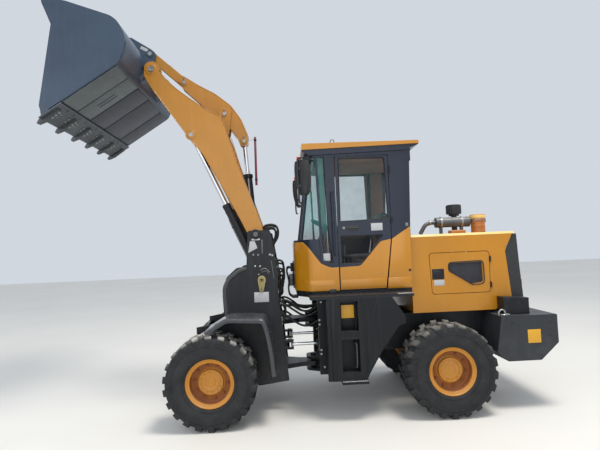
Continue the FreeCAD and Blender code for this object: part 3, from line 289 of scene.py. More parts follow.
def surface(name, color, rough=0.45, metallic=0.0, vary=0.12, dust=0.15, dust_color=(0.50, 0.46, 0.40), grain=180.0, bump=0.08,
            bevel=0.003, coat=0.0, streak=0.0, speckle=0.0, speckle_color=(0.3, 0.2, 0.12), big=2.3, rough_var=0.12, spec=0.5, low_dirt=0.0):
    """Painted or bare solid surface: mottled colour, dust that settles on top and low down, worn specks, fine grain and rounded edges."""
    mt, nt, b = nodes_of(name)
    geo = nt.nodes.new("ShaderNodeNewGeometry")
    tc = nt.nodes.new("ShaderNodeTexCoord")
    pos = tc.outputs["Object"]
    c = tuple(color) + (1.0,)
    dark = tuple(v * (1 - vary) for v in color) + (1.0,)
    light = tuple(min(1, v * (1 + vary)) for v in color) + (1.0,)
    n1 = noise(nt, pos, big, 5.0, 0.6)
    col = mix(nt, ramp(nt, n1, [(0.32, g(0)), (0.68, g(1))]), dark, light)
    n2 = noise(nt, pos, 38.0, 6.0, 0.7)
    col = mix(nt, math_node(nt, "MULTIPLY", ramp(nt, n2, [(0.45, g(0)), (0.75, g(1))]), 0.35 * vary / 0.12), col, light)
    sep = nt.nodes.new("ShaderNodeSeparateXYZ")
    nt.links.new(geo.outputs["Normal"], sep.inputs[0])
    if streak > 0:
        mp = nt.nodes.new("ShaderNodeMapping")
        mp.inputs["Scale"].default_value = (14.0, 14.0, 0.9)
        nt.links.new(pos, mp.inputs["Vector"])
        n3 = noise(nt, mp.outputs["Vector"], 1.6, 5.0, 0.6)
        col = mix(nt, math_node(nt, "MULTIPLY", ramp(nt, n3, [(0.5, g(0)), (0.78, g(1))]), streak), col, tuple(dust_color) + (1.0,))
    if speckle > 0:
        n4 = noise(nt, pos, 26.0, 8.0, 0.75, 0.6)
        n5 = noise(nt, pos, 3.1, 3.0, 0.5)
        f = math_node(nt, "MULTIPLY", ramp(nt, n4, [(0.62, g(0)), (0.66, g(1))]), ramp(nt, n5, [(0.5, g(0)), (0.62, g(1))]))
        col = mix(nt, math_node(nt, "MULTIPLY", f, speckle), col, tuple(speckle_color) + (1.0,))
    if dust > 0:
        n6 = noise(nt, pos, 6.0, 6.0, 0.65)
        topf = math_node(nt, "MULTIPLY", math_node(nt, "MAXIMUM", sep.outputs["Z"], 0.0), ramp(nt, n6, [(0.3, g(0.25)), (0.7, g(1))]))
        col = mix(nt, math_node(nt, "MULTIPLY", topf, dust), col, tuple(dust_color) + (1.0,))
    if low_dirt > 0:
        sp = nt.nodes.new("ShaderNodeSeparateXYZ")
        nt.links.new(geo.outputs["Position"], sp.inputs[0])
        low = nt.nodes.new("ShaderNodeMapRange")
        low.inputs["From Min"].default_value = 1.0
        low.inputs["From Max"].default_value = 0.25
        nt.links.new(sp.outputs["Z"], low.inputs["Value"])
        n7 = noise(nt, pos, 9.0, 7.0, 0.7)
        col = mix(nt, math_node(nt, "MULTIPLY", math_node(nt, "MULTIPLY", low.outputs[0], ramp(nt, n7, [(0.42, g(0)), (0.7, g(1))])), low_dirt), col,
                  tuple(dust_color) + (1.0,))
    nt.links.new(col, b.inputs["Base Color"])
    nr = noise(nt, pos, 17.0, 5.0, 0.6)
    rr = math_node(nt, "ADD", rough - rough_var, math_node(nt, "MULTIPLY", nr, 2 * rough_var))
    nt.links.new(rr, b.inputs["Roughness"])
    b.inputs["Metallic"].default_value = metallic
    b.inputs["Specular IOR Level"].default_value = spec
    if coat > 0:
        b.inputs["Coat Weight"].default_value = coat
        b.inputs["Coat Roughness"].default_value = 0.12
    bp = nt.nodes.new("ShaderNodeBump")
    bp.inputs["Strength"].default_value = bump
    bp.inputs["Distance"].default_value = 0.004
    ng = noise(nt, pos, grain, 4.0, 0.6)
    nt.links.new(ng, bp.inputs["Height"])
    if bevel > 0:
        bv = nt.nodes.new("ShaderNodeBevel")
        bv.samples = 4
        bv.inputs["Radius"].default_value = bevel
        nt.links.new(bv.outputs["Normal"], bp.inputs["Normal"])
    nt.links.new(bp.outputs["Normal"], b.inputs["Normal"])
    return mt


def glass_mat(name, tint, rough=0.03, alpha=0.38, mottled=0.5):
    mt, nt, b = nodes_of(name)
    tc = nt.nodes.new("ShaderNodeTexCoord")
    n1 = noise(nt, tc.outputs["Object"], 5.0, 5.0, 0.6)
    col = mix(nt, ramp(nt, n1, [(0.35, g(0)), (0.7, g(1))]), tuple(v * 0.9 for v in tint) + (1.0,), tuple(tint) + (1.0,))
    sp = nt.nodes.new("ShaderNodeSeparateXYZ")
    nt.links.new(tc.outputs["Object"], sp.inputs[0])
    zr = nt.nodes.new("ShaderNodeMapRange")       # painted shade: the panes darken to near-black towards the bottom
    zr.inputs["From Min"].default_value = 1.86
    zr.inputs["From Max"].default_value = 2.06
    nt.links.new(sp.outputs["Z"], zr.inputs["Value"])
    col = mix(nt, zr.outputs[0], (0.030, 0.036, 0.040, 1), col)
    nt.links.new(col, b.inputs["Base Color"])
    n2 = noise(nt, tc.outputs["Object"], 11.0, 6.0, 0.7)
    nt.links.new(math_node(nt, "ADD", rough, math_node(nt, "MULTIPLY", n2, 0.06)), b.inputs["Roughness"])
    nt.links.new(math_node(nt, "ADD", alpha - 0.05, math_node(nt, "MULTIPLY", ramp(nt, n2, [(0.4, g(0)), (0.8, g(1))]), 0.12 * mottled)), b.inputs["Alpha"])
    b.inputs["IOR"].default_value = 1.5
    b.inputs["Specular IOR Level"].default_value = 0.7
    bp = nt.nodes.new("ShaderNodeBump")
    bp.inputs["Strength"].default_value = 0.02
    bp.inputs["Distance"].default_value = 0.002
    nt.links.new(noise(nt, tc.outputs["Object"], 4.0, 2.0, 0.5), bp.inputs["Height"])
    nt.links.new(bp.outputs["Normal"], b.inputs["Normal"])
    return mt


def tyre_mat(name, mud_and_top_light=0.92):
    mt, nt, b = nodes_of(name)
    tc = nt.nodes.new("ShaderNodeTexCoord")
    geo = nt.nodes.new("ShaderNodeNewGeometry")
    pos = tc.outputs["Object"]
    base = mix(nt, ramp(nt, noise(nt, pos, 7.0, 6.0, 0.65), [(0.3, g(0)), (0.7, g(1))]), (0.015, 0.0155, 0.017, 1), (0.030, 0.031, 0.034, 1))
    at = nt.nodes.new("ShaderNodeAttribute")
    at.attribute_name = "tread"
    d = math_node(nt, "MULTIPLY", at.outputs["Fac"], ramp(nt, noise(nt, pos, 10.0, 7.0, 0.7), [(0.34, g(0.1)), (0.62, g(1))]))
    sep = nt.nodes.new("ShaderNodeSeparateXYZ")
    nt.links.new(geo.outputs["Position"], sep.inputs[0])
    # the pale mud on the lug tops is real mud, weighted towards the top of the tyre as a painted highlight
    hi = nt.nodes.new("ShaderNodeMapRange")
    hi.inputs["From Min"].default_value = 0.55
    hi.inputs["From Max"].default_value = 0.9
    hi.inputs["To Min"].default_value = 0.02
    hi.inputs["To Max"].default_value = 1.0
    nt.links.new(sep.outputs["Z"], hi.inputs["Value"])
    col = mix(nt, math_node(nt, "MULTIPLY", math_node(nt, "MULTIPLY", d, hi.outputs[0]), mud_and_top_light), base, (0.60, 0.58, 0.53, 1))
    side = ramp(nt, noise(nt, pos, 15.0, 7.0, 0.7), [(0.58, g(0)), (0.75, g(0.12))])
    col = mix(nt, side, col, (0.16, 0.15, 0.14, 1))
    nt.links.new(col, b.inputs["Base Color"])
    nt.links.new(math_node(nt, "ADD", 0.66, math_node(nt, "MULTIPLY", noise(nt, pos, 21.0, 5.0, 0.6), 0.25)), b.inputs["Roughness"])
    b.inputs["Specular IOR Level"].default_value = 0.35
    bp = nt.nodes.new("ShaderNodeBump")
    bp.inputs["Strength"].default_value = 0.25
    bp.inputs["Distance"].default_value = 0.003
    nt.links.new(noise(nt, pos, 120.0, 6.0, 0.7), bp.inputs["Height"])
    nt.links.new(bp.outputs["Normal"], b.inputs["Normal"])
    return mt


def mesh_mat(name):
    """Perforated sheet: a black plate with its holes painted near-black as painted shade, and fine painted glints."""
    mt, nt, b = nodes_of(name)
    tc = nt.nodes.new("ShaderNodeTexCoord")
    mp = nt.nodes.new("ShaderNodeMapping")
    mp.inputs["Rotation"].default_value = (0, math.radians(45), 0)
    nt.links.new(tc.outputs["Object"], mp.inputs["Vector"])
    vo = nt.nodes.new("ShaderNodeTexVoronoi")
    vo.inputs["Scale"].default_value = 85.0
    vo.inputs["Randomness"].default_value = 0.0
    nt.links.new(mp.outputs["Vector"], vo.inputs["Vector"])
    hole = ramp(nt, vo.outputs["Distance"], [(0.36, g(0)), (0.44, g(1))])
    base = mix(nt, ramp(nt, noise(nt, tc.outputs["Object"], 8.0, 5.0), [(0.3, g(0)), (0.7, g(1))]), (0.016, 0.016, 0.026, 1), (0.05, 0.05, 0.07, 1))
    glint = ramp(nt, noise(nt, tc.outputs["Object"], 210.0, 4.0, 0.8), [(0.60, g(0)), (0.68, g(0.5))])
    # painted shade in the holes and painted glints on the plate
    nt.links.new(mix(nt, glint, mix(nt, hole, (0.004, 0.004, 0.006, 1), base), (0.25, 0.26, 0.32, 1)), b.inputs["Base Color"])
    nt.links.new(math_node(nt, "ADD", 0.45, math_node(nt, "MULTIPLY", hole, 0.1)), b.inputs["Roughness"])
    bp = nt.nodes.new("ShaderNodeBump")
    bp.inputs["Strength"].default_value = 0.6
    bp.inputs["Distance"].default_value = 0.003
    nt.links.new(hole, bp.inputs["Height"])
    nt.links.new(bp.outputs["Normal"], b.inputs["Normal"])
    return mt


YEL = (0.49, 0.200, 0.004)
MAT = {
    "yellow": surface("yellow_paint", YEL, rough=0.30, vary=0.06, dust=0.08, dust_color=(0.75, 0.62, 0.36), coat=0.30, bump=0.04, streak=0.03, grain=60, rough_var=0.06),
    # pale yellow strip colour: painted highlight on the hood's top chamfer
    "yellow_pale": surface("pale_yellow_painted_highlight", (0.80, 0.52, 0.14), rough=0.25, vary=0.08, dust=0.5, dust_color=(0.9, 0.78, 0.5), coat=0.4, bump=0.03, bevel=0.001),
    "boom": surface("boom_paint", (0.42, 0.178, 0.013), rough=0.36, vary=0.07, dust=0.10, dust_color=(0.78, 0.68, 0.5), coat=0.20, bump=0.05, streak=0.04, grain=60, rough_var=0.07),
    "rim": surface("rim_paint", (0.50, 0.200, 0.010), rough=0.45, vary=0.1, dust=0.15, coat=0.1, bump=0.08, speckle=0.3, low_dirt=0.12, spec=0.4),
    # darker copy of the rim paint for the dish: painted shade
    "rim_shade": surface("rim_dish_paint", (0.30, 0.095, 0.018), rough=0.55, vary=0.15, dust=0.15, bump=0.1, speckle=0.4, spec=0.4),
    "black": surface("frame_paint", (0.0085, 0.0095, 0.0125), rough=0.42, vary=0.25, dust=0.20, dust_color=(0.16, 0.17, 0.19), coat=0.05, bump=0.12, streak=0.06, speckle=0.25, speckle_color=(0.05, 0.048, 0.045), low_dirt=0.15, spec=0.32),
    "cabblack": surface("cab_paint", (0.006, 0.012, 0.028), rough=0.30, vary=0.15, dust=0.15, dust_color=(0.16, 0.18, 0.22), coat=0.15, bump=0.05, streak=0.03, spec=0.38),
    "weight": surface("counterweight_paint", (0.024, 0.027, 0.032), rough=0.5, vary=0.2, dust=0.25, dust_color=(0.2, 0.2, 0.21), bump=0.3, grain=40, streak=0.06, low_dirt=0.18, spec=0.4),
    "bucket": surface("bucket_paint", (0.032, 0.054, 0.090), rough=0.40, vary=0.16, dust=0.2, dust_color=(0.15, 0.18, 0.22), coat=0.1, bump=0.16, streak=0.08, speckle=0.35, speckle_color=(0.10, 0.09, 0.085), grain=90, spec=0.45),
    "edge": surface("edge_steel", (0.075, 0.085, 0.095), rough=0.5, metallic=0.35, vary=0.25, dust=0.2, bump=0.3, speckle=0.5, grain=120),
    "cast": surface("axle_casting", (0.026, 0.028, 0.031), rough=0.55, vary=0.25, dust=0.3, bump=0.6, grain=70, low_dirt=0.5),
    "iron": surface("engine_iron", (0.10, 0.10, 0.10), rough=0.6, vary=0.3, dust=0.3, bump=0.6, grain=80),
    "steel": surface("bright_steel", (0.38, 0.38, 0.37), rough=0.3, metallic=0.9, vary=0.12, dust=0.1, bump=0.08, bevel=0.001),
    "zinc": surface("zinc_bolts", (0.27, 0.27, 0.26), rough=0.40, metallic=0.75, vary=0.2, dust=0.15, bump=0.1, bevel=0.0006),
    "chrome": surface("rod_chrome", (0.72, 0.73, 0.75), rough=0.14, metallic=1.0, vary=0.05, dust=0.03, bump=0.02, bevel=0.0, rough_var=0.05),
    "muffler": surface("muffler_steel", (0.10, 0.105, 0.115), rough=0.42, metallic=0.4, vary=0.35, dust=0.5, dust_color=(0.5, 0.49, 0.48), bump=0.25, speckle=0.5, speckle_color=(0.2, 0.08, 0.03), grain=60),
    "orange": surface("cleaner_paint", (0.50, 0.17, 0.02), rough=0.4, vary=0.12, dust=0.5, dust_color=(0.85, 0.7, 0.5), coat=0.2, bump=0.08),
    "plastic": surface("black_plastic", (0.022, 0.023, 0.026), rough=0.55, vary=0.2, dust=0.3, dust_color=(0.22, 0.22, 0.22), bump=0.25, grain=420, bevel=0.0015),
    "rubber": surface("hose_rubber", (0.018, 0.018, 0.020), rough=0.5, vary=0.25, dust=0.35, dust_color=(0.25, 0.24, 0.23), bump=0.2, grain=300, bevel=0.0),
    "seal": surface("rubber_seal", (0.012, 0.012, 0.014), rough=0.7, vary=0.2, dust=0.2, bump=0.2, grain=300, bevel=0.0),
    "lining": surface("cab_lining", (0.23, 0.130, 0.112), rough=0.85, vary=0.18, dust=0.1, bump=0.4, grain=350, bevel=0.0, spec=0.2),
    "vinyl": surface("seat_vinyl", (0.022, 0.022, 0.024), rough=0.5, vary=0.2, dust=0.2, bump=0.35, grain=500, bevel=0.0),
    "label_white": surface("bare_white_plate", (0.44, 0.44, 0.45), rough=0.4, vary=0.1, dust=0.1, bump=0.03, bevel=0.0006),
    "label_olive": surface("bare_olive_plate", (0.30, 0.245, 0.095), rough=0.42, vary=0.22, dust=0.2, bump=0.06, speckle=0.5, speckle_color=(0.16, 0.07, 0.03), bevel=0.0006),
    "band_grey": surface("floor_band_paint", (0.086, 0.104, 0.112), rough=0.45, vary=0.18, dust=0.1, bump=0.16, streak=0.08, speckle=0.35, speckle_color=(0.10, 0.09, 0.085), grain=90),
    "under": surface("floor_worn_paint", (0.026, 0.030, 0.046), rough=0.42, vary=0.3, dust=0.1, bump=0.2, streak=0.12, dust_color=(0.10, 0.085, 0.085), speckle=0.4, speckle_color=(0.09, 0.07, 0.07), grain=90),
    "label_yellow": surface("bare_yellow_plate", (0.70, 0.36, 0.02), rough=0.4, vary=0.12, dust=0.1, bump=0.03, bevel=0.0006),
    "lens_orange": surface("orange_lens", (0.75, 0.16, 0.02), rough=0.2, vary=0.1, dust=0.05, coat=0.6, bump=0.15, grain=240),
    "red_sleeve": surface("dark_red_sleeve", (0.17, 0.022, 0.045), rough=0.5, vary=0.25, dust=0.15, bump=0.2, grain=200, bevel=0.0006),
    "lens_red": surface("red_lens", (0.45, 0.02, 0.02), rough=0.2, vary=0.1, dust=0.05, coat=0.6, bump=0.15, grain=240),
    "lens_clear": surface("lamp_lens", (0.62, 0.64, 0.66), rough=0.15, vary=0.08, dust=0.05, coat=0.8, bump=0.3, grain=160),
    "glass": glass_mat("cab_glass_tint", (0.10, 0.52, 0.49), alpha=0.23),
    "glass_clear": glass_mat("cab_glass_clear", (0.12, 0.26, 0.26), alpha=0.10),
    # dark disc colour standing in for a hole: painted shade
    "hole_brown": surface("hole_painted_shade", (0.020, 0.010, 0.006), rough=0.7, vary=0.3, dust=0.2, bump=0.2, bevel=0.0),
    # darker copy of the frame black: painted shade on the step boxes and side tanks
    "stepblack": surface("step_side_painted_shade", (0.0058, 0.0068, 0.0092), rough=0.46, vary=0.25, dust=0.12, dust_color=(0.20, 0.20, 0.20), bump=0.12, streak=0.05, spec=0.28, speckle=0.3, speckle_color=(0.05, 0.048, 0.045)),
    "pale_paint": surface("pale_worn_paint", (0.42, 0.42, 0.41), rough=0.45, vary=0.18, dust=0.2, bump=0.15, speckle=0.4, bevel=0.001),
    "glossblack": surface("gloss_black_paint", (0.016, 0.018, 0.023), rough=0.24, vary=0.2, dust=0.35, dust_color=(0.30, 0.31, 0.33), coat=0.5, bump=0.06, streak=0.05, spec=0.55, bevel=0.004),
    "mirror": surface("mirror_face", (0.6, 0.63, 0.66), rough=0.08, metallic=1.0, vary=0.03, dust=0.02, bump=0.01, bevel=0.0, rough_var=0.03),
    "tyre": tyre_mat("tyre_rubber", 0.95),
    # the rear tyres take a copy with less pale mud on the tread: painted shade
    "tyre_rear": tyre_mat("tyre_rubber_rear", 0.42),
    "vent": mesh_mat("vent_mesh"),
}


# ------------------------------------------------------------------ mesh tools
class Piece:
    """Collects geometry for one named piece on one body; all input in millimetres from the rear axle."""

    def __init__(self, name, body, mat):
        self.name, self.body, self.mats = name, body, [mat] if isinstance(mat, str) else list(mat)
        self.bm = bmesh.new()
        self.smooth = 35.0

    def _paint(self, faces, k):
        for f in faces:
            f.material_index = k

    def merge(self, bm2, k=0):
        tmp = bpy.data.meshes.new("tmp")
        bm2.to_mesh(tmp)
        bm2.free()
        n = len(self.bm.faces)
        self.bm.from_mesh(tmp)
        bpy.data.meshes.remove(tmp)
        self.bm.faces.ensure_lookup_table()
        self._paint(self.bm.faces[n:], k)

    def box(self, x0, x1, y0, y1, z0, z1, bevel=4.0, k=0, seg=2, mat=None):
        b = bmesh.new()
        bmesh.ops.create_cube(b, size=1.0)
        lo, hi = m(x0, y0, z0), m(x1, y1, z1)
        for v in b.verts:
            v.co = Vector((lo[i] if v.co[i] < 0 else hi[i]) for i in range(3))
        bv = min(bevel / 1000.0, 0.45 * min(abs(hi[i] - lo[i]) for i in range(3)))
        if bv > 0:
            bmesh.ops.bevel(b, geom=list(b.edges), offset=bv, segments=seg, affect="EDGES", profile=0.5)
        if mat is not None:
            b.transform(mat)
        self.merge(b, k)
        return self

    def prism(self, pts, a0, a1, plane="xz", bevel=3.0, k=0, seg=2):
        """Outline pts extruded from a0 to a1 along the axis left out of `plane`."""
        b = bmesh.new()

        def at(p, a):
            if plane == "xz":
                return m(p[0], a, p[1])
            if plane == "xy":
                return m(p[0], p[1], a)
            return m(a, p[0], p[1])
        v0 = [b.verts.new(at(p, a0)) for p in pts]
        v1 = [b.verts.new(at(p, a1)) for p in pts]
        n = len(pts)
        b.faces.new(v0)
        b.faces.new(list(reversed(v1)))
        for i in range(n):
            b.faces.new((v0[i], v1[i], v1[(i + 1) % n], v0[(i + 1) % n]))
        bmesh.ops.recalc_face_normals(b, faces=list(b.faces))
        bv = min(bevel, 0.45 * abs(a1 - a0)) / 1000.0
        if bv > 0:
            try:
                bmesh.ops.bevel(b, geom=list(b.edges), offset=bv, segments=seg, affect="EDGES", profile=0.5, clamp_overlap=True)
            except Exception:
                pass
        self.merge(b, k)
        return self

    def turn(self, p, axis, profile, seg=48, k=0, start=0.0, closed=False):
        """Revolve profile [(distance along axis, radius)] about a line through p (mm) along axis."""
        b = bmesh.new()
        o = m(*p)
        ax = Vector(axis).normalized()
        side = ax.orthogonal().normalized()
        rings = []
        for t, r in profile:
            if r < 1e-6:
                rings.append([b.verts.new(o + ax * (t / 1000.0))])
                continue
            ring = []
            for i in range(seg):
                q = Quaternion(ax, start + 2 * math.pi * i / seg)
                ring.append(b.verts.new(o + ax * (t / 1000.0) + (q @ side) * (r / 1000.0)))
            rings.append(ring)
        pairs = list(zip(rings, rings[1:]))
        if closed:
            pairs.append((rings[-1], rings[0]))
        for r0, r1 in pairs:
            for i in range(seg):
                j = (i + 1) % seg
                q = [r0[i % len(r0)], r0[j % len(r0)], r1[j % len(r1)], r1[i % len(r1)]]
                u = []
                for v in q:
                    if v not in u:
                        u.append(v)
                if len(u) > 2:
                    b.faces.new(u)
        bmesh.ops.recalc_face_normals(b, faces=list(b.faces))
        self.merge(b, k)
        return self

    def rod(self, p, q, r, seg=24, k=0, c=1.5):
        d = Vector(q) - Vector(p)
        L = d.length
        c = min(c, r * 0.4, L * 0.3)
        return self.turn(p, d, [(0, 0), (0, r - c), (c, r), (L - c, r), (L, r - c), (L, 0)], seg, k)

    def tube(self, pts, r, seg=10, k=0, caps=True):
        """Round bar along a smooth curve through pts (mm)."""
        P = [Vector(p) for p in pts]
        line = []
        for i in range(len(P) - 1):
            a = P[max(i - 1, 0)]
            b0, c0 = P[i], P[i + 1]
            d = P[min(i + 2, len(P) - 1)]
            steps = max(3, int((c0 - b0).length / max(r * 1.4, 6.0)))
            steps = min(steps, 22)
            for j in range(steps):
                t = j / steps
                t2, t3 = t * t, t * t * t
                line.append(0.5 * ((2 * b0) + (c0 - a) * t + (2 * a - 5 * b0 + 4 * c0 - d) * t2 + (3 * b0 - a - 3 * c0 + d) * t3))
        line.append(P[-1])
        b = bmesh.new()
        prev = None
        rings = []
        for i, p in enumerate(line):
            tg = (line[min(i + 1, len(line) - 1)] - line[max(i - 1, 0)]).normalized()
            if prev is None:
                n = tg.orthogonal().normalized()
            else:
                n = (prev - tg * prev.dot(tg)).normalized()
            prev = n
            bn = tg.cross(n)
            rings.append([b.verts.new(m(*(p + (n * math.cos(2 * math.pi * j / seg) + bn * math.sin(2 * math.pi * j / seg)) * r))) for j in range(seg)])
        for r0, r1 in zip(rings, rings[1:]):
            for j in range(seg):
                b.faces.new((r0[j], r0[(j + 1) % seg], r1[(j + 1) % seg], r1[j]))
        if caps:
            b.faces.new(list(reversed(rings[0])))
            b.faces.new(rings[-1])
        bmesh.ops.recalc_face_normals(b, faces=list(b.faces))
        self.merge(b, k)
        return self

    def bolt(self, p, n, af=24.0, h=12.0, k=0, washer=True, stud=False):
        """Hex head, washer and a short thread end at p, pointing along n."""
        ang = rnd.uniform(0, 1.0)
        if washer:
            self.turn(p, n, [(0, 0), (0, af * 0.62), (2.2, af * 0.62), (2.8, af * 0.58), (2.8, 0)], 16, k)
        r = af / 2 / math.cos(math.pi / 6)
        self.turn(p, n, [(2, 0), (2, r), (h - 2, r), (h, r * 0.86), (h, 0)], 6, k, ang)
        if stud:
            self.turn(p, n, [(h, 0), (h, af * 0.26), (h + 6, af * 0.26), (h + 7, af * 0.2), (h + 7, 0)], 10, k)
        return self

    def disc_cap(self, p, n, r, h, k=0, seg=32, step=None):
        prof = [(0, 0), (0, r), (h - 2, r), (h, r - 2), (h, 0)]
        if step:
            prof = [(0, 0), (0, r), (h - 2, r), (h, r - 2), (h, step + 1), (h - 3, step), (h - 3, 0)]
        return self.turn(p, n, prof, seg, k)

    def done(self, replaces=(), slot=None, smooth=None, ride=True):
        me = bpy.data.meshes.new(self.name)
        self.bm.to_mesh(me)
        self.bm.free()
        o = bpy.data.objects.new(self.name, me)
        bpy.context.scene.collection.objects.link(o)
        for k in self.mats:
            me.materials.append(MAT[k])
        ang = math.radians(self.smooth if smooth is None else smooth)
        me.shade_smooth()
        me.set_sharp_from_angle(angle=ang)
        if ride:
            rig.ride(o, self.body)
        if replaces:
            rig.replaces(o, *replaces)
        if slot:
            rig.slot(o, slot)
        return o


def spline(pts, step=14.0):
    """Smooth curve through 2-D points, sampled about every `step` millimetres."""
    V = [Vector(q).to_3d() if len(q) == 2 else Vector(q) for q in pts]
    out = []
    for i in range(len(V) - 1):
        a, b0, c0, d = V[max(i - 1, 0)], V[i], V[i + 1], V[min(i + 2, len(V) - 1)]
        n = max(2, int((c0 - b0).length / step))
        for j in range(n):
            t = j / n
            out.append(0.5 * ((2 * b0) + (c0 - a) * t + (2 * a - 5 * b0 + 4 * c0 - d) * t * t + (3 * b0 - a - 3 * c0 + d) * t ** 3))
    out.append(V[-1])
    return [(v.x, v.y) for v in out]


def sheet_solid(P, grid, thick, k=0):
    """Closed panel from a grid of outer points (mm); thick is the inward offset vector of each point."""
    b = bmesh.new()
    outer = [[b.verts.new(m(*q)) for q in row] for row in grid]
    inner = [[b.verts.new(m(*(Vector(q) + Vector(t)))) for q, t in zip(row, trow)] for row, trow in zip(grid, thick)]
    R, C = len(grid), len(grid[0])
    for i in range(R - 1):
        for j in range(C - 1):
            b.faces.new((outer[i][j], outer[i][j + 1], outer[i + 1][j + 1], outer[i + 1][j]))
            b.faces.new((inner[i][j], inner[i + 1][j], inner[i + 1][j + 1], inner[i][j + 1]))
    for j in range(C - 1):
        b.faces.new((outer[0][j], inner[0][j], inner[0][j + 1], outer[0][j + 1]))
        b.faces.new((outer[R - 1][j], outer[R - 1][j + 1], inner[R - 1][j + 1], inner[R - 1][j]))
    for i in range(R - 1):
        b.faces.new((outer[i][0], outer[i + 1][0], inner[i + 1][0], inner[i][0]))
        b.faces.new((outer[i][C - 1], inner[i][C - 1], inner[i + 1][C - 1], outer[i + 1][C - 1]))
    bmesh.ops.recalc_face_normals(b, faces=list(b.faces))
    P.merge(b, k)


def both(fn):
    """Run fn for the left (+1) and right (-1) side."""
    for s, tag in ((1, "left"), (-1, "right")):
        fn(s, tag)


# ------------------------------------------------------------------ materials on the CAD nodes
NODE_MAT = {
    "rear_frame": "black", "engine_block": "cast", "transmission": "cast", "counterweight": "weight", "rear_axle": "cast", "front_axle": "cast",
    "engine_hood": "yellow", "rear_grille": "plastic", "muffler": "muffler", "air_cleaner": "orange", "pre_cleaner": "plastic", "battery_boxes": "black",
    "cab_platform": "black", "cab_frame": "cabblack", "cab_roof": "yellow", "cab_lower_panels": "yellow", "cab_door_skin_left": "yellow", "cab_door_skin_right": "yellow", "front_hoses": "rubber", "cab_glass": "glass",
    # side_tanks take the darker stepblack copy of the frame black: painted shade
    "side_tanks": "stepblack", "mirrors": "plastic", "work_lamps": "plastic", "door_hinges": "black", "steering_column": "plastic",
    "cab_door_left": "cabblack", "cab_door_right": "cabblack", "cab_door_glass_left": "glass_clear", "cab_door_glass_right": "glass",
    "engine_door_left": "yellow", "engine_door_right": "yellow", "front_frame": "black", "front_fenders": "black", "boom": "boom",
    "bucket_hinge_pins": "steel", "bucket": "bucket", "cutting_edge": "edge", "bucket_teeth": "edge", "rocker_pivot_pin": "steel", "rocker": "boom",
    "bucket_upper_pin": "steel", "tie_link": "boom", "tilt_base_pin": "steel", "tilt_cylinder_barrel": "black", "tilt_cylinder_rod": "chrome",
    "lift_cylinder_barrels": "black", "lift_cylinder_rods": "chrome", "steering_barrel_left": "black", "steering_barrel_right": "black",
    "steering_rod_left": "chrome", "steering_rod_right": "chrome", "operator_seat": "vinyl",
}
for nname, ob in frame["nodes"].items():
    key = NODE_MAT.get(nname)
    if key is None:
        key = "tyre" if nname.startswith("tyre") else "rim"
    ob.data.materials.clear()
    ob.data.materials.append(MAT[key])

# ------------------------------------------------------------------ wheels
TYRE_OUT = [(160, 233), (172, 246), (186, 262), (194, 290), (197, 325), (196, 360), (192, 392), (186, 412), (178, 428), (168, 440), (150, 447), (100, 451), (0, 452)]


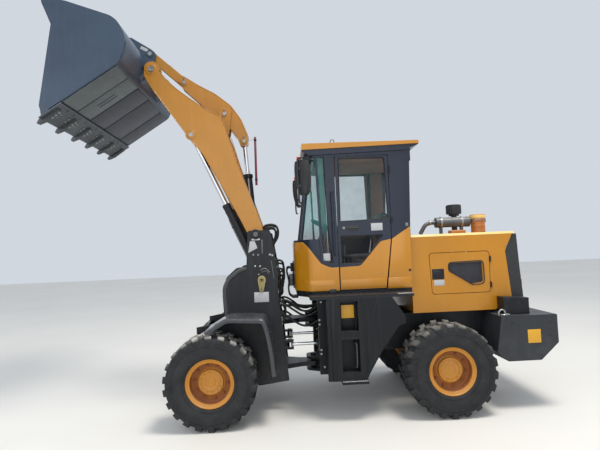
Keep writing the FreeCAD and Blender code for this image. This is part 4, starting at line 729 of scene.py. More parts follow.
def tyre(name, cx, cy, body, side):
    # rear tyres take the copy with less pale mud: painted shade
    P = Piece(name, body, "tyre_rear" if cx < 1000 else "tyre")
    half = TYRE_OUT
    inner = [(y, r) for y, r in reversed(TYRE_OUT)]
    full = [(-y, r) for y, r in half] + [(y, r) for y, r in inner[1:]]
    full += [(150, 236), (-150, 236)]
    P.turn((cx, cy, 470), (0, 1, 0), full, 96, closed=True)
    lay_t = P.bm.faces.layers.int.new("lug")
    n0 = len(P.bm.faces)
    # lugs: shoulder blocks that run in towards the middle, staggered from side to side
    N = 22
    for s in (1, -1):
        for i in range(N):
            a0 = 2 * math.pi * (i + (0.5 if s < 0 else 0.0)) / N
            for part in (0, 1):
                b = bmesh.new()
                if part == 0:      # long shoulder block, wraps over the edge
                    stations = [(193, 404, 0.062, 0.0, 414), (190, 418, 0.066, 0.0, 436), (180, 433, 0.070, 0.004, 462), (160, 442, 0.070, 0.012, 470),
                                (110, 448, 0.064, 0.034, 470), (66, 450, 0.056, 0.052, 470)]
                else:              # centre block
                    stations = [(52, 450, 0.050, 0.096, 469), (12, 450, 0.054, 0.118, 469), (-14, 450, 0.046, 0.134, 469)]
                rows = []
                for y, rb, hw, sh, rt in stations:
                    row = []
                    for (dr, w) in ((rb - 4, hw * 1.14), (rt, hw)):
                        for sgn in (-1, 1):
                            a = a0 + (sh if True else 0) + sgn * w
                            row.append(b.verts.new(m(cx + dr * math.sin(a), cy + s * y, 470 + dr * math.cos(a))))
                    rows.append(row)   # [base-, base+, top-, top+]
                for r0, r1 in zip(rows, rows[1:]):
                    b.faces.new((r0[2], r0[3], r1[3], r1[2]))
                    b.faces.new((r0[0], r0[2], r1[2], r1[0]))
                    b.faces.new((r0[1], r1[1], r1[3], r0[3]))
                b.faces.new((rows[0][0], rows[0][1], rows[0][3], rows[0][2]))
                b.faces.new((rows[-1][0], rows[-1][2], rows[-1][3], rows[-1][1]))
                bmesh.ops.recalc_face_normals(b, faces=list(b.faces))
                top_edges = [e for e in b.edges if all((v.co - m(cx, v.co.y * 1000, 470)).length > 0.4345 for v in e.verts)]
                bmesh.ops.bevel(b, geom=[e for e in b.edges if not e.is_boundary], offset=0.0022, segments=1, affect="EDGES")
                P.merge(b, 0)
    # ribs and bead lines on the sidewall
    for s in (1, -1):
        P.turn((cx, cy, 470), (0, s, 0), [(188, 268), (193, 268), (194, 272), (189, 276)], 96)
        P.turn((cx, cy, 470), (0, s, 0), [(195, 372), (199, 374), (199, 380), (194, 383)], 96)
        for i in range(44):
            a = 2 * math.pi * i / 44
            r0, r1 = 384, 402
            b = bmesh.new()
            vs = []
            for rr, yy in ((r0, 193.5), (r1, 189.5)):
                for da in (-0.012, 0.012):
                    vs.append(b.verts.new(m(cx + rr * math.sin(a + da), cy + s * (yy + 4.0), 470 + rr * math.cos(a + da))))
            for rr, yy in ((r0 - 3, 192), (r1 + 3, 187)):
                for da in (-0.02, 0.02):
                    vs.append(b.verts.new(m(cx + rr * math.sin(a + da), cy + s * yy, 470 + rr * math.cos(a + da))))
            b.faces.new((vs[0], vs[1], vs[3], vs[2]))
            b.faces.new((vs[0], vs[4], vs[5], vs[1]))
            b.faces.new((vs[1], vs[5], vs[7], vs[3]))
            b.faces.new((vs[3], vs[7], vs[6], vs[2]))
            b.faces.new((vs[2], vs[6], vs[4], vs[0]))
            bmesh.ops.recalc_face_normals(b, faces=list(b.faces))
            P.merge(b, 0)
    P.bm.verts.ensure_lookup_table()
    me_name = name
    o = P.done(replaces=(name.replace("treaded_", ""),), slot="tyre", smooth=40)
    att = o.data.attributes.new("tread", "FLOAT", "POINT")
    c = m(cx, cy, 470)
    vals = []
    for v in o.data.vertices:
        r = math.hypot(v.co.x - c.x, v.co.z - c.z)
        vals.append(max(0.0, min(1.0, (r - 0.446) / 0.020)))
    att.data.foreach_set("value", vals)
    return o


def rim(name, cx, cy, body, side):
    P = Piece(name, body, ["rim", "rim_shade", "zinc"])
    c, ax = (cx, cy, 470), (0, side, 0)
    # outer flange with a rolled lip and flat band, then the deep dish
    P.turn(c, ax, [(164, 243), (170, 243.5), (175, 241), (176, 237), (174, 233), (168, 229), (163, 222), (160, 212), (159, 206), (156, 203), (150, 202)], 96, 0)
    # the deep dish takes rim_shade, a darker copy of the rim paint: painted shade
    P.turn(c, ax, [(150, 202), (120, 203), (90, 204), (72, 204), (66, 198), (64, 188), (63, 150), (64, 142)], 96, 1)
    P.turn(c, ax, [(64, 142), (70, 136), (72, 128), (90, 126), (100, 124), (103.5, 120), (104, 112), (101, 109), (101, 92), (103, 89), (103.5, 60), (102, 57), (101, 52), (104, 48), (105, 40), (105, 0)], 72, 0)
    # back of the rim
    P.turn(c, ax, [(156, 228), (120, 222), (60, 208), (-60, 208), (-120, 222), (-156, 228), (-164, 243), (-175, 241), (-176, 236), (-168, 228), (-158, 216), (-60, 203), (40, 203), (48, 118), (-60, 112), (-62, 62)], 72, 0)
    # the wheel nuts sit in the dish and take the same darker copy: painted shade
    for i in range(10):
        a = 2 * math.pi * i / 10 + 0.2
        P.bolt((cx + 166 * math.sin(a), cy + side * 64, 470 + 166 * math.cos(a)), ax, 23, 15, 1, stud=True)
    for i in range(12):
        a = 2 * math.pi * i / 12 + 0.13
        P.bolt((cx + 100 * math.sin(a), cy + side * 101, 470 + 100 * math.cos(a)), ax, 11, 6, 0, washer=False)
    # a short zinc rod in the dish; the hand holes are not drawn
    P.rod((cx + 210 * math.sin(2.2), cy + side * 120, 470 + 210 * math.cos(2.2)), (cx + 196 * math.sin(2.2), cy + side * 128, 470 + 196 * math.cos(2.2)), 6, 12, 2)
    return P.done(replaces=(name.replace("dished_", ""),), slot="paint_yellow")


for tag, cx, side in (("front_left", 2431, 1), ("front_right", 2431, -1), ("rear_left", 0, 1), ("rear_right", 0, -1)):
    tyre("treaded_tyre_" + tag, cx, side * 750, "wheel_" + tag, side)
    rim("dished_rim_" + tag, cx, side * 750, "wheel_" + tag, side)

# ------------------------------------------------------------------ bucket details
CA, SA = math.cos(math.radians(33.0)), math.sin(math.radians(33.0))
HX, HZ = 3176.0, 3749.0


def bk(u, w, y):
    """Bucket frame (u along the floor to the blade, w above it) to X, Y, Z in millimetres."""
    return (HX + u * CA + w * SA, y, HZ - u * SA + w * CA)


def bkn(du, dw):
    return (du * CA + dw * SA, 0.0, -du * SA + dw * CA)


def bk2(pts):
    return [(bk(u, w, 0)[0], bk(u, w, 0)[2]) for u, w in pts]


P = Piece("bucket_wear_strips", "bucket", ["bucket", "under", "band_grey"])
for y0, y1, k in ((640, 955, 2), (320, 620, 2), (-80, 300, 1), (-600, -100, 1), (-955, -620, 1)):
    P.prism(bk2([(96, -0.5), (96, -8), (112, -11), (738, -11), (752, -8), (752, -0.5)]), y0, y1, "xz", 3, k)
for y in (440, 500):
    P.prism(bk2([(330, -10.5), (330, -15), (560, -15), (560, -10.5)]), y - 8, y + 8, "xz", 2, 1)
P.done(slot="bucket_grey")

P = Piece("bucket_side_trims", "bucket", ["bucket", "edge"])
for s in (1, -1):
    y0, y1 = sorted((s * 962, s * 979.5))
    P.prism(bk2([(955, 78), (975, 16), (985, 16), (962, 92), (402, 718), (356, 950), (338, 1000), (330, 996), (346, 946), (390, 712)]), *sorted((s * 955, s * 963.5)), plane="xz", bevel=2)
    P.prism(bk2([(988, -9), (820, -9), (800, 20), (820, 46), (958, 72)]), *sorted((s * 955, s * 963.4)), plane="xz", bevel=2, k=1)
    for u, w in ((840, 8), (900, 12), (955, 20)):
        P.bolt(bk(u, w + 6, s * 955), (0, -s, 0), 22, 10, 1)
P.done(slot="bucket_grey")

P = Piece("tooth_bolts", "bucket", ["zinc", "edge"])
for i in range(6):
    yc = -900.0 + 360.0 * i
    for j, u in enumerate((850, 892, 934)):
        P.bolt(bk(u, -46.5 - (u - 850) * 0.035, yc), bkn(0, -1), 24, 12, 0)
    # hardened tip with a raised rib
    P.prism(bk2([(1002, -51), (1082, -35.5), (1083, -25), (1050, -8), (1034, -5), (1034, -20)]), yc - 31, yc + 31, "xz", 4, k=1)
    for dy in (-95, 95):
        for u in (872, 915):
            if abs(yc + dy) < 930:
                P.bolt(bk(u, -24.4, yc + dy), bkn(0, -1), 20, 8, 0, washer=False)
    P.prism(bk2([(836, -45), (842, -49.5), (995, -56), (1050, -47), (1045, -42)]), yc - 8, yc + 8, "xz", 2, k=1)
for i in range(14):
    y = -910 + 140 * i
    if min(abs(y - (-900 + 360 * k)) for k in range(6)) > 45:
        P.disc_cap(bk(800, -24.2, y), bkn(0, -1), 13, 5, 1, 20)
P.done(slot="edge_steel")

P = Piece("bucket_pin_keepers", "bucket", ["bucket", "zinc", "label_white", "steel"])
for s in (1, -1):
    # collars on the pin bosses and a bare plate on each ear
    P.prism([(3196, 4256), (3216, 4224), (3296, 4268), (3278, 4302)], *sorted((s * 66, s * 67.5)), plane="xz", bevel=0.5, k=2)
    P.tube([bk(96, 2, s * 955), bk(-30, 62, s * 955), bk(-126, 182, s * 955), bk(-158, 400, s * 955)], 4, 6, 0)
    c = (3178, 4203)
    P.turn((c[0], s * 66, c[1]), (0, s, 0), [(0, 25.6), (0, 46), (7, 44), (8, 25.6)], 40, 0, closed=True)
P.done(slot="bucket_grey")

# ------------------------------------------------------------------ boom, rocker and link details
P = Piece("boom_trims", "boom", ["boom", "zinc", "steel", "label_white"])
for s in (1, -1):
    # boss rings and weld beads on both faces of each arm
    for (cx, cz, r) in ((3075, 3872, 62), (1957, 1947, 66)):
        for y, n in ((s * 405, s), (s * 275, -s)):
            P.turn((cx, y, cz), (0, n, 0), [(0, 33.5), (0, r + 4), (3, r + 2), (5, r - 4), (5.2, 36), (4, 33.5)], 48, 0, closed=True)
    P.turn((2645, s * 405, 3104), (0, s, 0), [(0, 0), (0, 62), (3, 60), (5, 54), (5, 0)], 48, 0)
    P.turn((2645, s * 410, 3104), (0, s, 0), [(0, 26), (0, 44), (5, 42), (6, 26)], 40, 0, closed=True)
    P.disc_cap((2645, s * 410, 3104), (0, s, 0), 25, 8, 2, 32, 9)
    # keeper plate with two bolts on the front boss
    P.box(3042, 3066, *sorted((s * 410, s * 416)), 3838, 3906, 3, 1)
    for z in (3851, 3893):
        P.bolt((3054, s * 416, z), (0, s, 0), 17, 8, 1, washer=False)
    # seam beads along the arm's upper and lower edges
    for pts in ([(2016, 2430), (2150, 2800), (2235, 3090), (2302, 3282), (2440, 3372), (2536, 3436), (2808, 3650), (2968, 3826)],
                [(3044, 3618), (2856, 3340), (2700, 3117), (2635, 3022), (2518, 2884), (2252, 2388), (2052, 1976)]):
        for y in (s * 405.5,):
            P.tube([(x, y, z) for x, z in pts], 3.2, 6, 0)
    P.prism([(2878, 3722), (2936, 3768), (2926, 3782), (2868, 3736)], *sorted((s * 404.8, s * 406.2)), plane="xz", bevel=0.5, k=3)
P.turn((2390, 0, 3080), (0, 1, 0), [(-276, 76), (-268, 84), (-262, 84), (-252, 76)], 48, 0)
P.turn((2390, 0, 3080), (0, 1, 0), [(252, 76), (262, 84), (268, 84), (276, 76)], 48, 0)
# hydraulic pipes that run up the inside of both arms, held by clamps
for s in (1, -1):
    for k2, dy in enumerate((262, 236)):
        P.tube([(1998, s * 277, 2262), (2000, s * (dy + 6), 2264), (2012, s * dy, 2290), (2120, s * dy, 2600), (2215, s * dy, 2880), (2300, s * dy, 3010)], 8, 10, 0)
    for (x, z) in ((2045, 2380), (2150, 2690), (2232, 2905)):
        P.box(x - 22, x + 22, *sorted((s * 230, s * 274.5)), z - 14, z + 14, 4, 1)
P.done(slot="paint_yellow")

P = Piece("rocker_trims", "rocker", ["boom", "zinc", "steel"])
for s in (1, -1):
    for cx, cz, r in ((2298, 3426, 60), (2078, 3092, 44), (2774, 3837, 46)):
        if (cx, cz) == (2298, 3426):
            P.turn((cx, s * 62, cz), (0, s, 0), [(0, 26), (0, r + 2), (3, r), (4.5, r - 4), (4.5, 28), (3, 26)], 48, 0, closed=True)
        else:
            P.turn((cx, s * 62, cz), (0, s, 0), [(0, 25.4), (0, r), (4, r - 2), (6, r - 6), (6, 27), (5, 25.4)], 48, 0, closed=True)
            P.disc_cap((cx, s * 72, cz), (0, s, 0), 22, 5, 2, 32, 8)
            P.box(cx - 8, cx + 8, *sorted((s * 68, s * 73)), cz + 30, cz + 64, 2, 1)
            P.bolt((cx, s * 73, cz + 52), (0, s, 0), 15, 7, 1, washer=False)
    for pts in ([(2612, 3797), (2420, 3687), (2245, 3545), (2120, 3362), (2046, 3170)], [(2176, 3160), (2232, 3238), (2300, 3330), (2402, 3404), (2560, 3546), (2792, 3768)]):
        P.tube([(x, s * 62.3, z) for x, z in pts], 2.6, 6, 0)
P.done(slot="paint_yellow")

P = Piece("rocker_pin_caps", "rocker_pin", ["steel", "boom", "zinc"])
for s in (1, -1):
    P.disc_cap((2298, s * 104, 3426), (0, s, 0), 24, 4, 0, 32, 9)
    P.box(2286, 2310, *sorted((s * 95, s * 101)), 3452, 3486, 2, 1)
    P.bolt((2298, s * 101, 3470), (0, s, 0), 16, 7, 2, washer=False)
P.done(slot="pin_steel")

P = Piece("bucket_pin_caps", "bucket_pins", ["steel", "boom"])
for s in (1, -1):
    for y, n in ((s * 413, s), (s * 267, -s)):
        P.turn((3075, y, 3872), (0, n, 0), [(0, 0), (0, 28), (2, 29.5), (4, 28), (4, 12), (1, 10), (1, 0)], 40, 0)
P.done(slot="pin_steel")

P = Piece("link_trims", "tie_link", ["boom", "zinc"])
for s in (1, -1):
    for cx, cz, r in ((2774, 3837, 46), (3178, 4203, 43)):
        P.turn((cx, s * 34, cz), (0, s, 0), [(0, 25.6), (0, r), (2, r - 1), (4, r - 5), (4, 25.6)], 40, 0, closed=True)
P.rod((2960, 0, 4057), (2944, 0, 4074), 7, 12, 1)
P.done(slot="paint_black")

# ------------------------------------------------------------------ cylinders


def along(a, b, t):
    d = (Vector(b) - Vector(a)).normalized()
    return tuple(Vector(a) + d * t)


P = Piece("lift_barrel_trims", "lift_barrels", ["black", "steel", "zinc", "rubber", "pale_paint"])
for s in (1, -1):
    a, b = (1890, s * 340, 1420), (2645, s * 340, 3104)
    d = Vector(b) - Vector(a)
    P.turn(along(a, b, 925), d, [(0, 45), (0, 47), (3, 48), (36, 48), (40, 46), (40.5, 28)], 48, 0)
    P.turn(along(a, b, 870), d, [(0, 45), (2, 48), (16, 48), (18, 45)], 48, 0)
    P.turn(along(a, b, 60), d, [(0, 45), (3, 49), (22, 49), (26, 45)], 48, 0)
    # feed pipe clamped along the barrel
    e = Vector((d.z, 0, -d.x)).normalized()
    pipe = [Vector(along(a, b, t)) + e * o for t, o in ((110, 46), (150, 51), (400, 51), (640, 51), (760, 51), (800, 46))]
    P.tube([tuple(p) for p in pipe], 5.5, 12, 4)
    for t in (300, 700):
        c = Vector(along(a, b, t)) + e * 46
        P.box(c.x - 9, c.x + 9, c.y - 14, c.y + 14, c.z - 8, c.z + 8, 3, 0)
P.done(slot="paint_black")

P = Piece("lift_rod_seals", "lift_rods", ["steel", "boom"])
for s in (1, -1):
    b = (2645, s * 340, 3104)
    a = (1890, s * 340, 1420)
    P.turn(along(b, a, 30), Vector(a) - Vector(b), [(0, 27.2), (0, 36), (16, 34), (24, 27.2)], 40, 0)
P.done(slot="rod_chrome")

P = Piece("tilt_barrel_trims", "tilt_barrel", ["black", "steel", "zinc"])
a, b = (1983, 0, 1628), (2078, 0, 3092)
d = Vector(b) - Vector(a)
P.turn(along(a, b, 1024), d, [(0, 50), (0, 57), (3, 59), (40, 59), (45, 54), (45.5, 28)], 48, 0)
P.turn(along(a, b, 75), d, [(0, 50), (3, 54), (22, 54), (26, 50)], 48, 0)
for s in (1, -1):
    P.tube([(1996, s * 46, 1735), (1999, s * 63, 1780), (2012, s * 63, 2150), (2034, s * 63, 2500), (2044, s * 50, 2640)], 9, 12, 1)
    for z in (1950, 2320):
        x = 2002 + (z - 1780) * 0.0605
        P.box(x - 14, x + 14, *sorted((s * 40, s * 74)), z - 12, z + 12, 3, 0)
P.done(slot="paint_black")

# sleeve and clamps on the bucket-level indicator that hangs beside the tilt rod
P = Piece("indicator_sleeve", "tilt_rod", ["red_sleeve", "black"])
P.turn((1948, 0, 3154), (4, 0, -590), [(0, 0), (0, 13), (2, 14), (590, 14), (594, 12.5), (594, 0)], 24, 0)
for z in (3126, 2640):
    P.turn((1948 + (3154 - z) * 0.00678, 0, z), (4, 0, -590), [(0, 14), (0, 17), (22, 17), (22, 14)], 24, 1, closed=True)
P.done(slot="rod_chrome")

for tag, s in (("left", 1), ("right", -1)):
    p0, p1 = (800.0, s * 300.0, 700.0), (1620.0, s * 330.0, 700.0)
    P = Piece("steering_barrel_trims_" + tag, "steering_barrel_" + tag, ["black", "steel", "rubber"])
    d = Vector(p1) - Vector(p0)
    P.turn(along(p0, p1, 488), d, [(0, 34), (0, 38), (2, 39.5), (28, 39.5), (31.5, 36), (31.8, 19)], 40, 0)
    P.tube([along(p0, p1, 70)[:2] + (734,), along(p0, p1, 110)[:2] + (748,), along(p0, p1, 300)[:2] + (748,), along(p0, p1, 440)[:2] + (748,), along(p0, p1, 490)[:2] + (736,)], 6, 10, 1)
    P.done(slot="paint_black")

# ------------------------------------------------------------------ tower and front frame details
P = Piece("tower_fittings", "front_chassis", ["black", "zinc", "steel", "label_white", "label_olive", "iron", "glossblack", "pale_paint", "hole_brown"])
ARCH = [(2072, 1592), (2110, 1588), (2147, 1577), (2186, 1556), (2218, 1532), (2252, 1506), (2282, 1478), (2306, 1446), (2323, 1413), (2336, 1380), (2342, 1340), (2341, 1274), (2336, 1204), (2330, 1140), (2326, 1060)]
for s in (1, -1):
    yo = s * 435
    # boom pin: dark boss, brown end of the pin and a pale lower lip
    P.turn((1957, s * 435, 1947), (0, s, 0), [(0, 34), (0, 58), (6, 56), (9, 50), (9, 34)], 48, 0, closed=True)
    P.turn((1957, s * 447, 1947), (0, s, 0), [(0, 0), (0, 26), (2, 27), (4, 25), (4, 12), (2, 10), (2, 0)], 40, 5)
    P.prism([(1906, 1893), (1914, 1880), (2002, 1880), (2008, 1894), (1990, 1902), (1957, 1888), (1924, 1902)], *sorted((yo, s * 441)), plane="xz", bevel=2, k=7)
    P.prism([(2022, 1872), (1971, 1874), (1941, 1794), (2046, 1744)], *sorted((yo, s * 436.5)), plane="xz", bevel=0.6, k=3)
    P.box(1881, 1897, *sorted((yo, s * 440)), 1730, 1885, 3, 5)
    for x, z in ((1990, 1720), (1937, 1718)):
        P.bolt((x, yo, z), (0, s, 0), 17, 8, 1)
    for x, z in ((1975, 1594), (1920, 1592)):
        P.bolt((x, yo, z), (0, s, 0), 19, 9, 2)
    for x, z in ((1806, 1716), (1780, 1708)):
        P.bolt((x, yo, z), (0, s, 0), 20, 12, 2)
    # curved handle above the cover
    P.tube([(1912, s * 440, 1546), (1884, s * 447, 1566), (1852, s * 447, 1560), (1818, s * 440, 1522)], 4.5, 10, 2)
    P.tube([(1906, s * 440, 1520), (1876, s * 445, 1536), (1848, s * 445, 1528), (1826, s * 440, 1502)], 4, 10, 5)
    P.bolt((1938, yo, 1502), (0, s, 0), 16, 7, 1)
    # keyhole-shaped cover with its raised boss
    P.prism([(1952, 1440), (1945, 1466), (1926, 1484), (1902, 1488), (1880, 1480), (1864, 1458), (1862, 1428), (1872, 1396), (1882, 1352), (1888, 1322), (1902, 1306), (1922, 1306), (1936, 1320), (1940, 1356), (1948, 1402)],
            *sorted((yo, s * 449)), plane="xz", bevel=3, k=4)
    # the centre of the boss is a dark disc: painted shade in its bore
    P.turn((1908, s * 449, 1440), (0, s, 0), [(0, 0), (0, 26), (3, 24), (4, 17), (1.5, 14), (1.5, 0)], 32, 8)
    P.turn((1908, s * 449, 1440), (0, s, 0), [(0, 14), (0, 24), (4, 22), (4.5, 15), (3, 14)], 32, 4, closed=True)
    P.bolt((1914, s * 449, 1340), (0, s, 0), 16, 6, 5, washer=False)
    P.box(1835, 1996, *sorted((yo, s * 436.5)), 1196, 1306, 0.6, 3)
    # worn lip on the rear edge of the outer plate
    P.prism([(1792, 1650), (1786, 1627), (1768, 1448), (1776, 1447), (1795, 1626), (1800, 1649)], *sorted((yo, s * 437)), plane="xz", bevel=0.8, k=5)
    # rolled flange round the forward arch
    arc = spline(ARCH, 16.0)
    grid, th = [], []
    for off, yy in ((44, 434.6), (41, 440.0), (34, 443.5), (12, 444.5), (3, 443.0), (-1.0, 437.0), (-1.0, 424.0)):
        row, tr = [], []
        for i, q in enumerate(arc):
            a, c = arc[max(i - 1, 0)], arc[min(i + 1, len(arc) - 1)]
            tx, tz = c[0] - a[0], c[1] - a[1]
            L = math.hypot(tx, tz)
            nx, nz = tz / L, -tx / L          # towards the inside of the plate
            row.append((q[0] + nx * off, s * yy, q[1] + nz * off))
            tr.append((nx * 5, -s * 5 if off > 0 else 0, nz * 5))
        grid.append(row)
        th.append(tr)
    sheet_solid(P, grid, th, 6)
    # steering pin caps
    for x, y in ((1620, 330),):
        P.turn((x, s * y, 756), (0, 0, 1), [(0, 0), (0, 24), (6, 23), (8, 16), (8, 0)], 32, 2)
# fittings on the bridge pieces between the tower plates at the back
for s in (1, -1):
    for z in (1250, 1380, 1500, 1640):
        P.turn((1771, s * 40 if z > 1400 else s * 80, z), (-1, 0, 0), [(0, 0), (0, 19), (10, 19), (10, 16), (22, 16), (22, 0)], 6, 2)
P.turn((1345, 0, 958), (0, 0, 1), [(0, 20), (0, 60), (5, 60), (8, 56), (8, 20)], 40, 0, closed=True)
P.done(slot="paint_black")

# block of hose fittings on the hinge side of the front frame
P = Piece("hinge_fittings", "front_chassis", ["steel", "zinc", "rubber", "black", "pale_paint", "glossblack"])
for s in (1, -1):
    # pale bent bracket and hook on the rear edge of the outer plate
    P.prism([(1757, 1448), (1740, 1440), (1735, 1400), (1731, 1362), (1727, 1330), (1725, 1300), (1725, 1276), (1734, 1266), (1742, 1276), (1740, 1292), (1744, 1322), (1751, 1370), (1756, 1405)], *sorted((s * 405, s * 411)), plane="xz", bevel=1.5, k=4)
    P.prism([(1748, 1392), (1733, 1350), (1727, 1296), (1725, 1248), (1737, 1240), (1740, 1282), (1746, 1336), (1756, 1376)], *sorted((s * 352, s * 360)), plane="xz", bevel=1.5, k=4)
    P.tube([(1764, s * 396, 1640), (1750, s * 396, 1655), (1736, s * 392, 1640), (1732, s * 388, 1604), (1737, s * 386, 1584), (1750, s * 386, 1592)], 7, 10, 2)
    P.box(1723, 1764, *sorted((s * 300, s * 372)), 1528, 1592, 6, 5, 3)
    P.box(1725, 1760, *sorted((s * 306, s * 366)), 1470, 1528, 6, 4, 3)
    for x, z in ((1737, 1576), (1752, 1546)):
        P.turn((x, s * 372, z), (0, s, 0), [(0, 0), (0, 12), (10, 12), (10, 9), (20, 9), (20, 0)], 6, 0)
        P.turn((x, s * 366, z - 60), (0, s, 0), [(0, 0), (0, 11), (8, 11), (8, 8), (16, 8), (16, 0)], 6, 1)
    P.tube([(1738, s * 390, 1570), (1735, s * 394, 1500), (1734, s * 394, 1420), (1737, s * 390, 1360), (1752, s * 384, 1342)], 10, 12, 2)
    P.tube([(1752, s * 390, 1545), (1744, s * 400, 1480), (1740, s * 400, 1380), (1746, s * 396, 1300)], 10, 12, 2)
    P.tube([(1754, s * 386, 1500), (1738, s * 398, 1440), (1735, s * 398, 1240), (1716, s * 392, 1060), (1744, s * 380, 1010)], 10, 12, 2)
    P.tube([(1740, s * 200, 1180), (1690, s * 200, 1160), (1660, s * 204, 1100), (1664, s * 210, 1010), (1700, s * 216, 960)], 12, 12, 2)
    P.box(1694, 1768, *sorted((s * 196, s * 240)), 900, 990, 6, 4, 3)
    P.prism([(1762, 1330), (1735, 1300), (1725, 1240), (1702, 1150), (1728, 1145), (1745, 1208), (1769, 1240)], *sorted((s * 300, s * 330)), plane="xz", bevel=4, k=0)
    P.prism([(1769, 1215), (1745, 1180), (1722, 1120), (1738, 1108), (1769, 1160)], *sorted((s * 350, s * 372)), plane="xz", bevel=4, k=0)
    P.box(1724, 1769, *sorted((s * 256, s * 404)), 1395, 1425, 5, 3)
    P.tube([(1769, s * 290, 1560), (1750, s * 290, 1568), (1737, s * 292, 1520), (1738, s * 294, 1460), (1743, s * 294, 1425)], 11, 12, 2)
    P.turn((1743, s * 294, 1424), (0, 0, 1), [(0, 0), (0, 17), (26, 17), (26, 13), (36, 13), (36, 0)], 6, 1)
    P.tube([(1769, s * 380, 1330), (1748, s * 380, 1326), (1736, s * 378, 1270), (1722, s * 374, 1180), (1732, s * 370, 1120), (1769, s * 368, 1105)], 11, 12, 2)
    P.tube([(1769, s * 318, 1070), (1700, s * 318, 1064), (1672, s * 322, 1010), (1690, s * 326, 960), (1769, s * 328, 940)], 10, 12, 2)
    for z in (1070, 940):
        P.turn((1769, s * (318 if z > 1000 else 328), z), (-1, 0, 0), [(0, 0), (0, 16), (16, 16), (16, 13), (26, 13), (26, 0)], 6, 0)
P.done(slot="pin_steel")

# hoses from the tower valve: loops over the top and behind the cross plate
P = Piece("tower_hoses", "front_chassis", ["rubber", "steel"])
for s in (1, -1):
    P.tube([(1781, s * 150, 1765), (1778, s * 150, 1825), (1722, s * 150, 1925), (1716, s * 150, 2020), (1760, s * 150, 2062), (1840, s * 150, 2062), (1878, s * 150, 2035), (1880, s * 150, 1987)], 12.3, 14)
    P.tube([(1781, s * 190, 1765), (1778, s * 190, 1840), (1742, s * 190, 1925), (1742, s * 190, 1995), (1775, s * 190, 2030), (1826, s * 190, 2028), (1849, s * 190, 2010), (1850, s * 190, 1987)], 12.3, 14)
    for y in (150, 190):
        P.turn((1781, s * y, 1766), (0, 0, 1), [(0, 0), (0, 18), (16, 18), (18, 15), (34, 14.5), (34, 0)], 6, 1)
for y, z0, z1, x in ((40, 1640, 1500, 1664), (-40, 1600, 1380, 1658), (80, 1440, 1250, 1692), (-80, 1330, 1210, 1692),
                     (10, 1470, 1290, 1676), (-10, 1540, 1330, 1668), (108, 1560, 1330, 1712), (-108, 1540, 1300, 1712), (62, 1360, 1222, 1684), (128, 1420, 1240, 1716), (-128, 1400, 1250, 1716)):
    P.tube([(1770.5, y, z0), (x + 40, y, z0), (x + 6, y, z0 - 26), (x, y, (z0 + z1) / 2), (x + 6, y, z1 + 26), (x + 40, y, z1), (1770.5, y, z1)], 12.2, 14)
P.done(replaces=("front_hoses",), slot="hose_rubber")

P = Piece("hinge_hoses", "front_chassis", ["rubber"])
for y, pts in ((62, [(1769, 1150), (1680, 1150), (1600, 1138), (1480, 1092), (1380, 1084), (1300, 1095), (1240, 1132), (1187, 1140)]),
               (0, [(1769, 1100), (1680, 1100), (1600, 1094), (1480, 1072), (1380, 1067), (1290, 1072), (1240, 1082), (1187, 1085)]),
               (-62, [(1769, 1130), (1680, 1130), (1600, 1120), (1480, 1082), (1380, 1074), (1300, 1082), (1240, 1114), (1187, 1120)])):
    P.tube([(x, y, z) for x, z in pts], 12.2, 14)
for y0, y1, zs in ((170, 150, (1180, 1172, 1120, 1050, 1040, 1084, 1120)), (205, 178, (1130, 1116, 1060, 1004, 996, 1040, 1078)), (-170, -150, (1180, 1172, 1120, 1050, 1040, 1084, 1120)),
                   (-205, -178, (1130, 1116, 1060, 1004, 996, 1040, 1078)), (186, 166, (1008, 990, 930, 880, 876, 924, 968)), (-186, -166, (1008, 990, 930, 880, 876, 924, 968))):
    xs = (1700, 1640, 1560, 1470, 1380, 1290, 1200)
    P.tube([(x, y0 + (y1 - y0) * i / 6.0, z) for i, (x, z) in enumerate(zip(xs, zs))], 12.2, 14)
hh = P.done(replaces=("front_hoses",), slot="hose_rubber", ride=False)
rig.blend(hh, "front_chassis", "rear_chassis", start=tuple(m(1720, 0, 1100)), end=tuple(m(1230, 0, 1100)))

P = Piece("nose_manifold", "rear_chassis", ["black", "rubber", "zinc", "steel", "pale_paint", "glossblack"])
P.box(1541, 1552, -92, 92, 1306, 1622, 4, 0)
P.box(1550, 1598, -58, 58, 1330, 1470, 6, 5, 3)
P.box(1550, 1580, -66, 66, 1500, 1600, 6, 0, 3)
for i, y in enumerate((-52, -26, 0, 26, 52)):
    z = 1556 - 12 * (i % 2)
    P.turn((1580, y, z), (1, 0, 0), [(0, 0), (0, 12), (9, 12), (9, 9), (18, 9), (18, 0)], 6, 2)
    P.tube([(1596, y, z), (1618, y, z - 6), (1626, y, z - 50), (1614 - 4 * (i % 2), y * 1.1, 1440), (1604, y * 1.25, 1370), (1612, y * 1.3, 1300), (1600, y * 1.3, 1230), (1566, y * 1.3, 1200)], 10.5, 12, 1)
for y in (-40, 40):
    P.turn((1598, y, 1400), (1, 0, 0), [(0, 0), (0, 14), (8, 14), (8, 10), (16, 10), (16, 0)], 6, 3)
    P.bolt((1552, y * 1.9, 1480), (1, 0, 0), 16, 7, 2)
P.box(1500, 1572, -84, 84, 1186, 1214, 5, 0)
P.done(slot="paint_black")

P = Piece("hose_ends", "rear_chassis", ["steel"])
for y, z in ((150, 1120), (178, 1078), (-150, 1120), (-178, 1078), (166, 968), (-166, 968)):
    P.turn((1176, y, z), (1, 0, 0), [(0, 0), (0, 17), (12, 17), (14, 15), (24, 14.5), (24, 0)], 6, 0)
for y, z in ((62, 1140), (0, 1085), (-62, 1120)):
    P.turn((1160.5, y, z), (1, 0, 0), [(0, 0), (0, 19), (14, 19), (16, 16), (25, 15.5), (25, 0)], 6, 0)
P.done(slot="pin_steel")

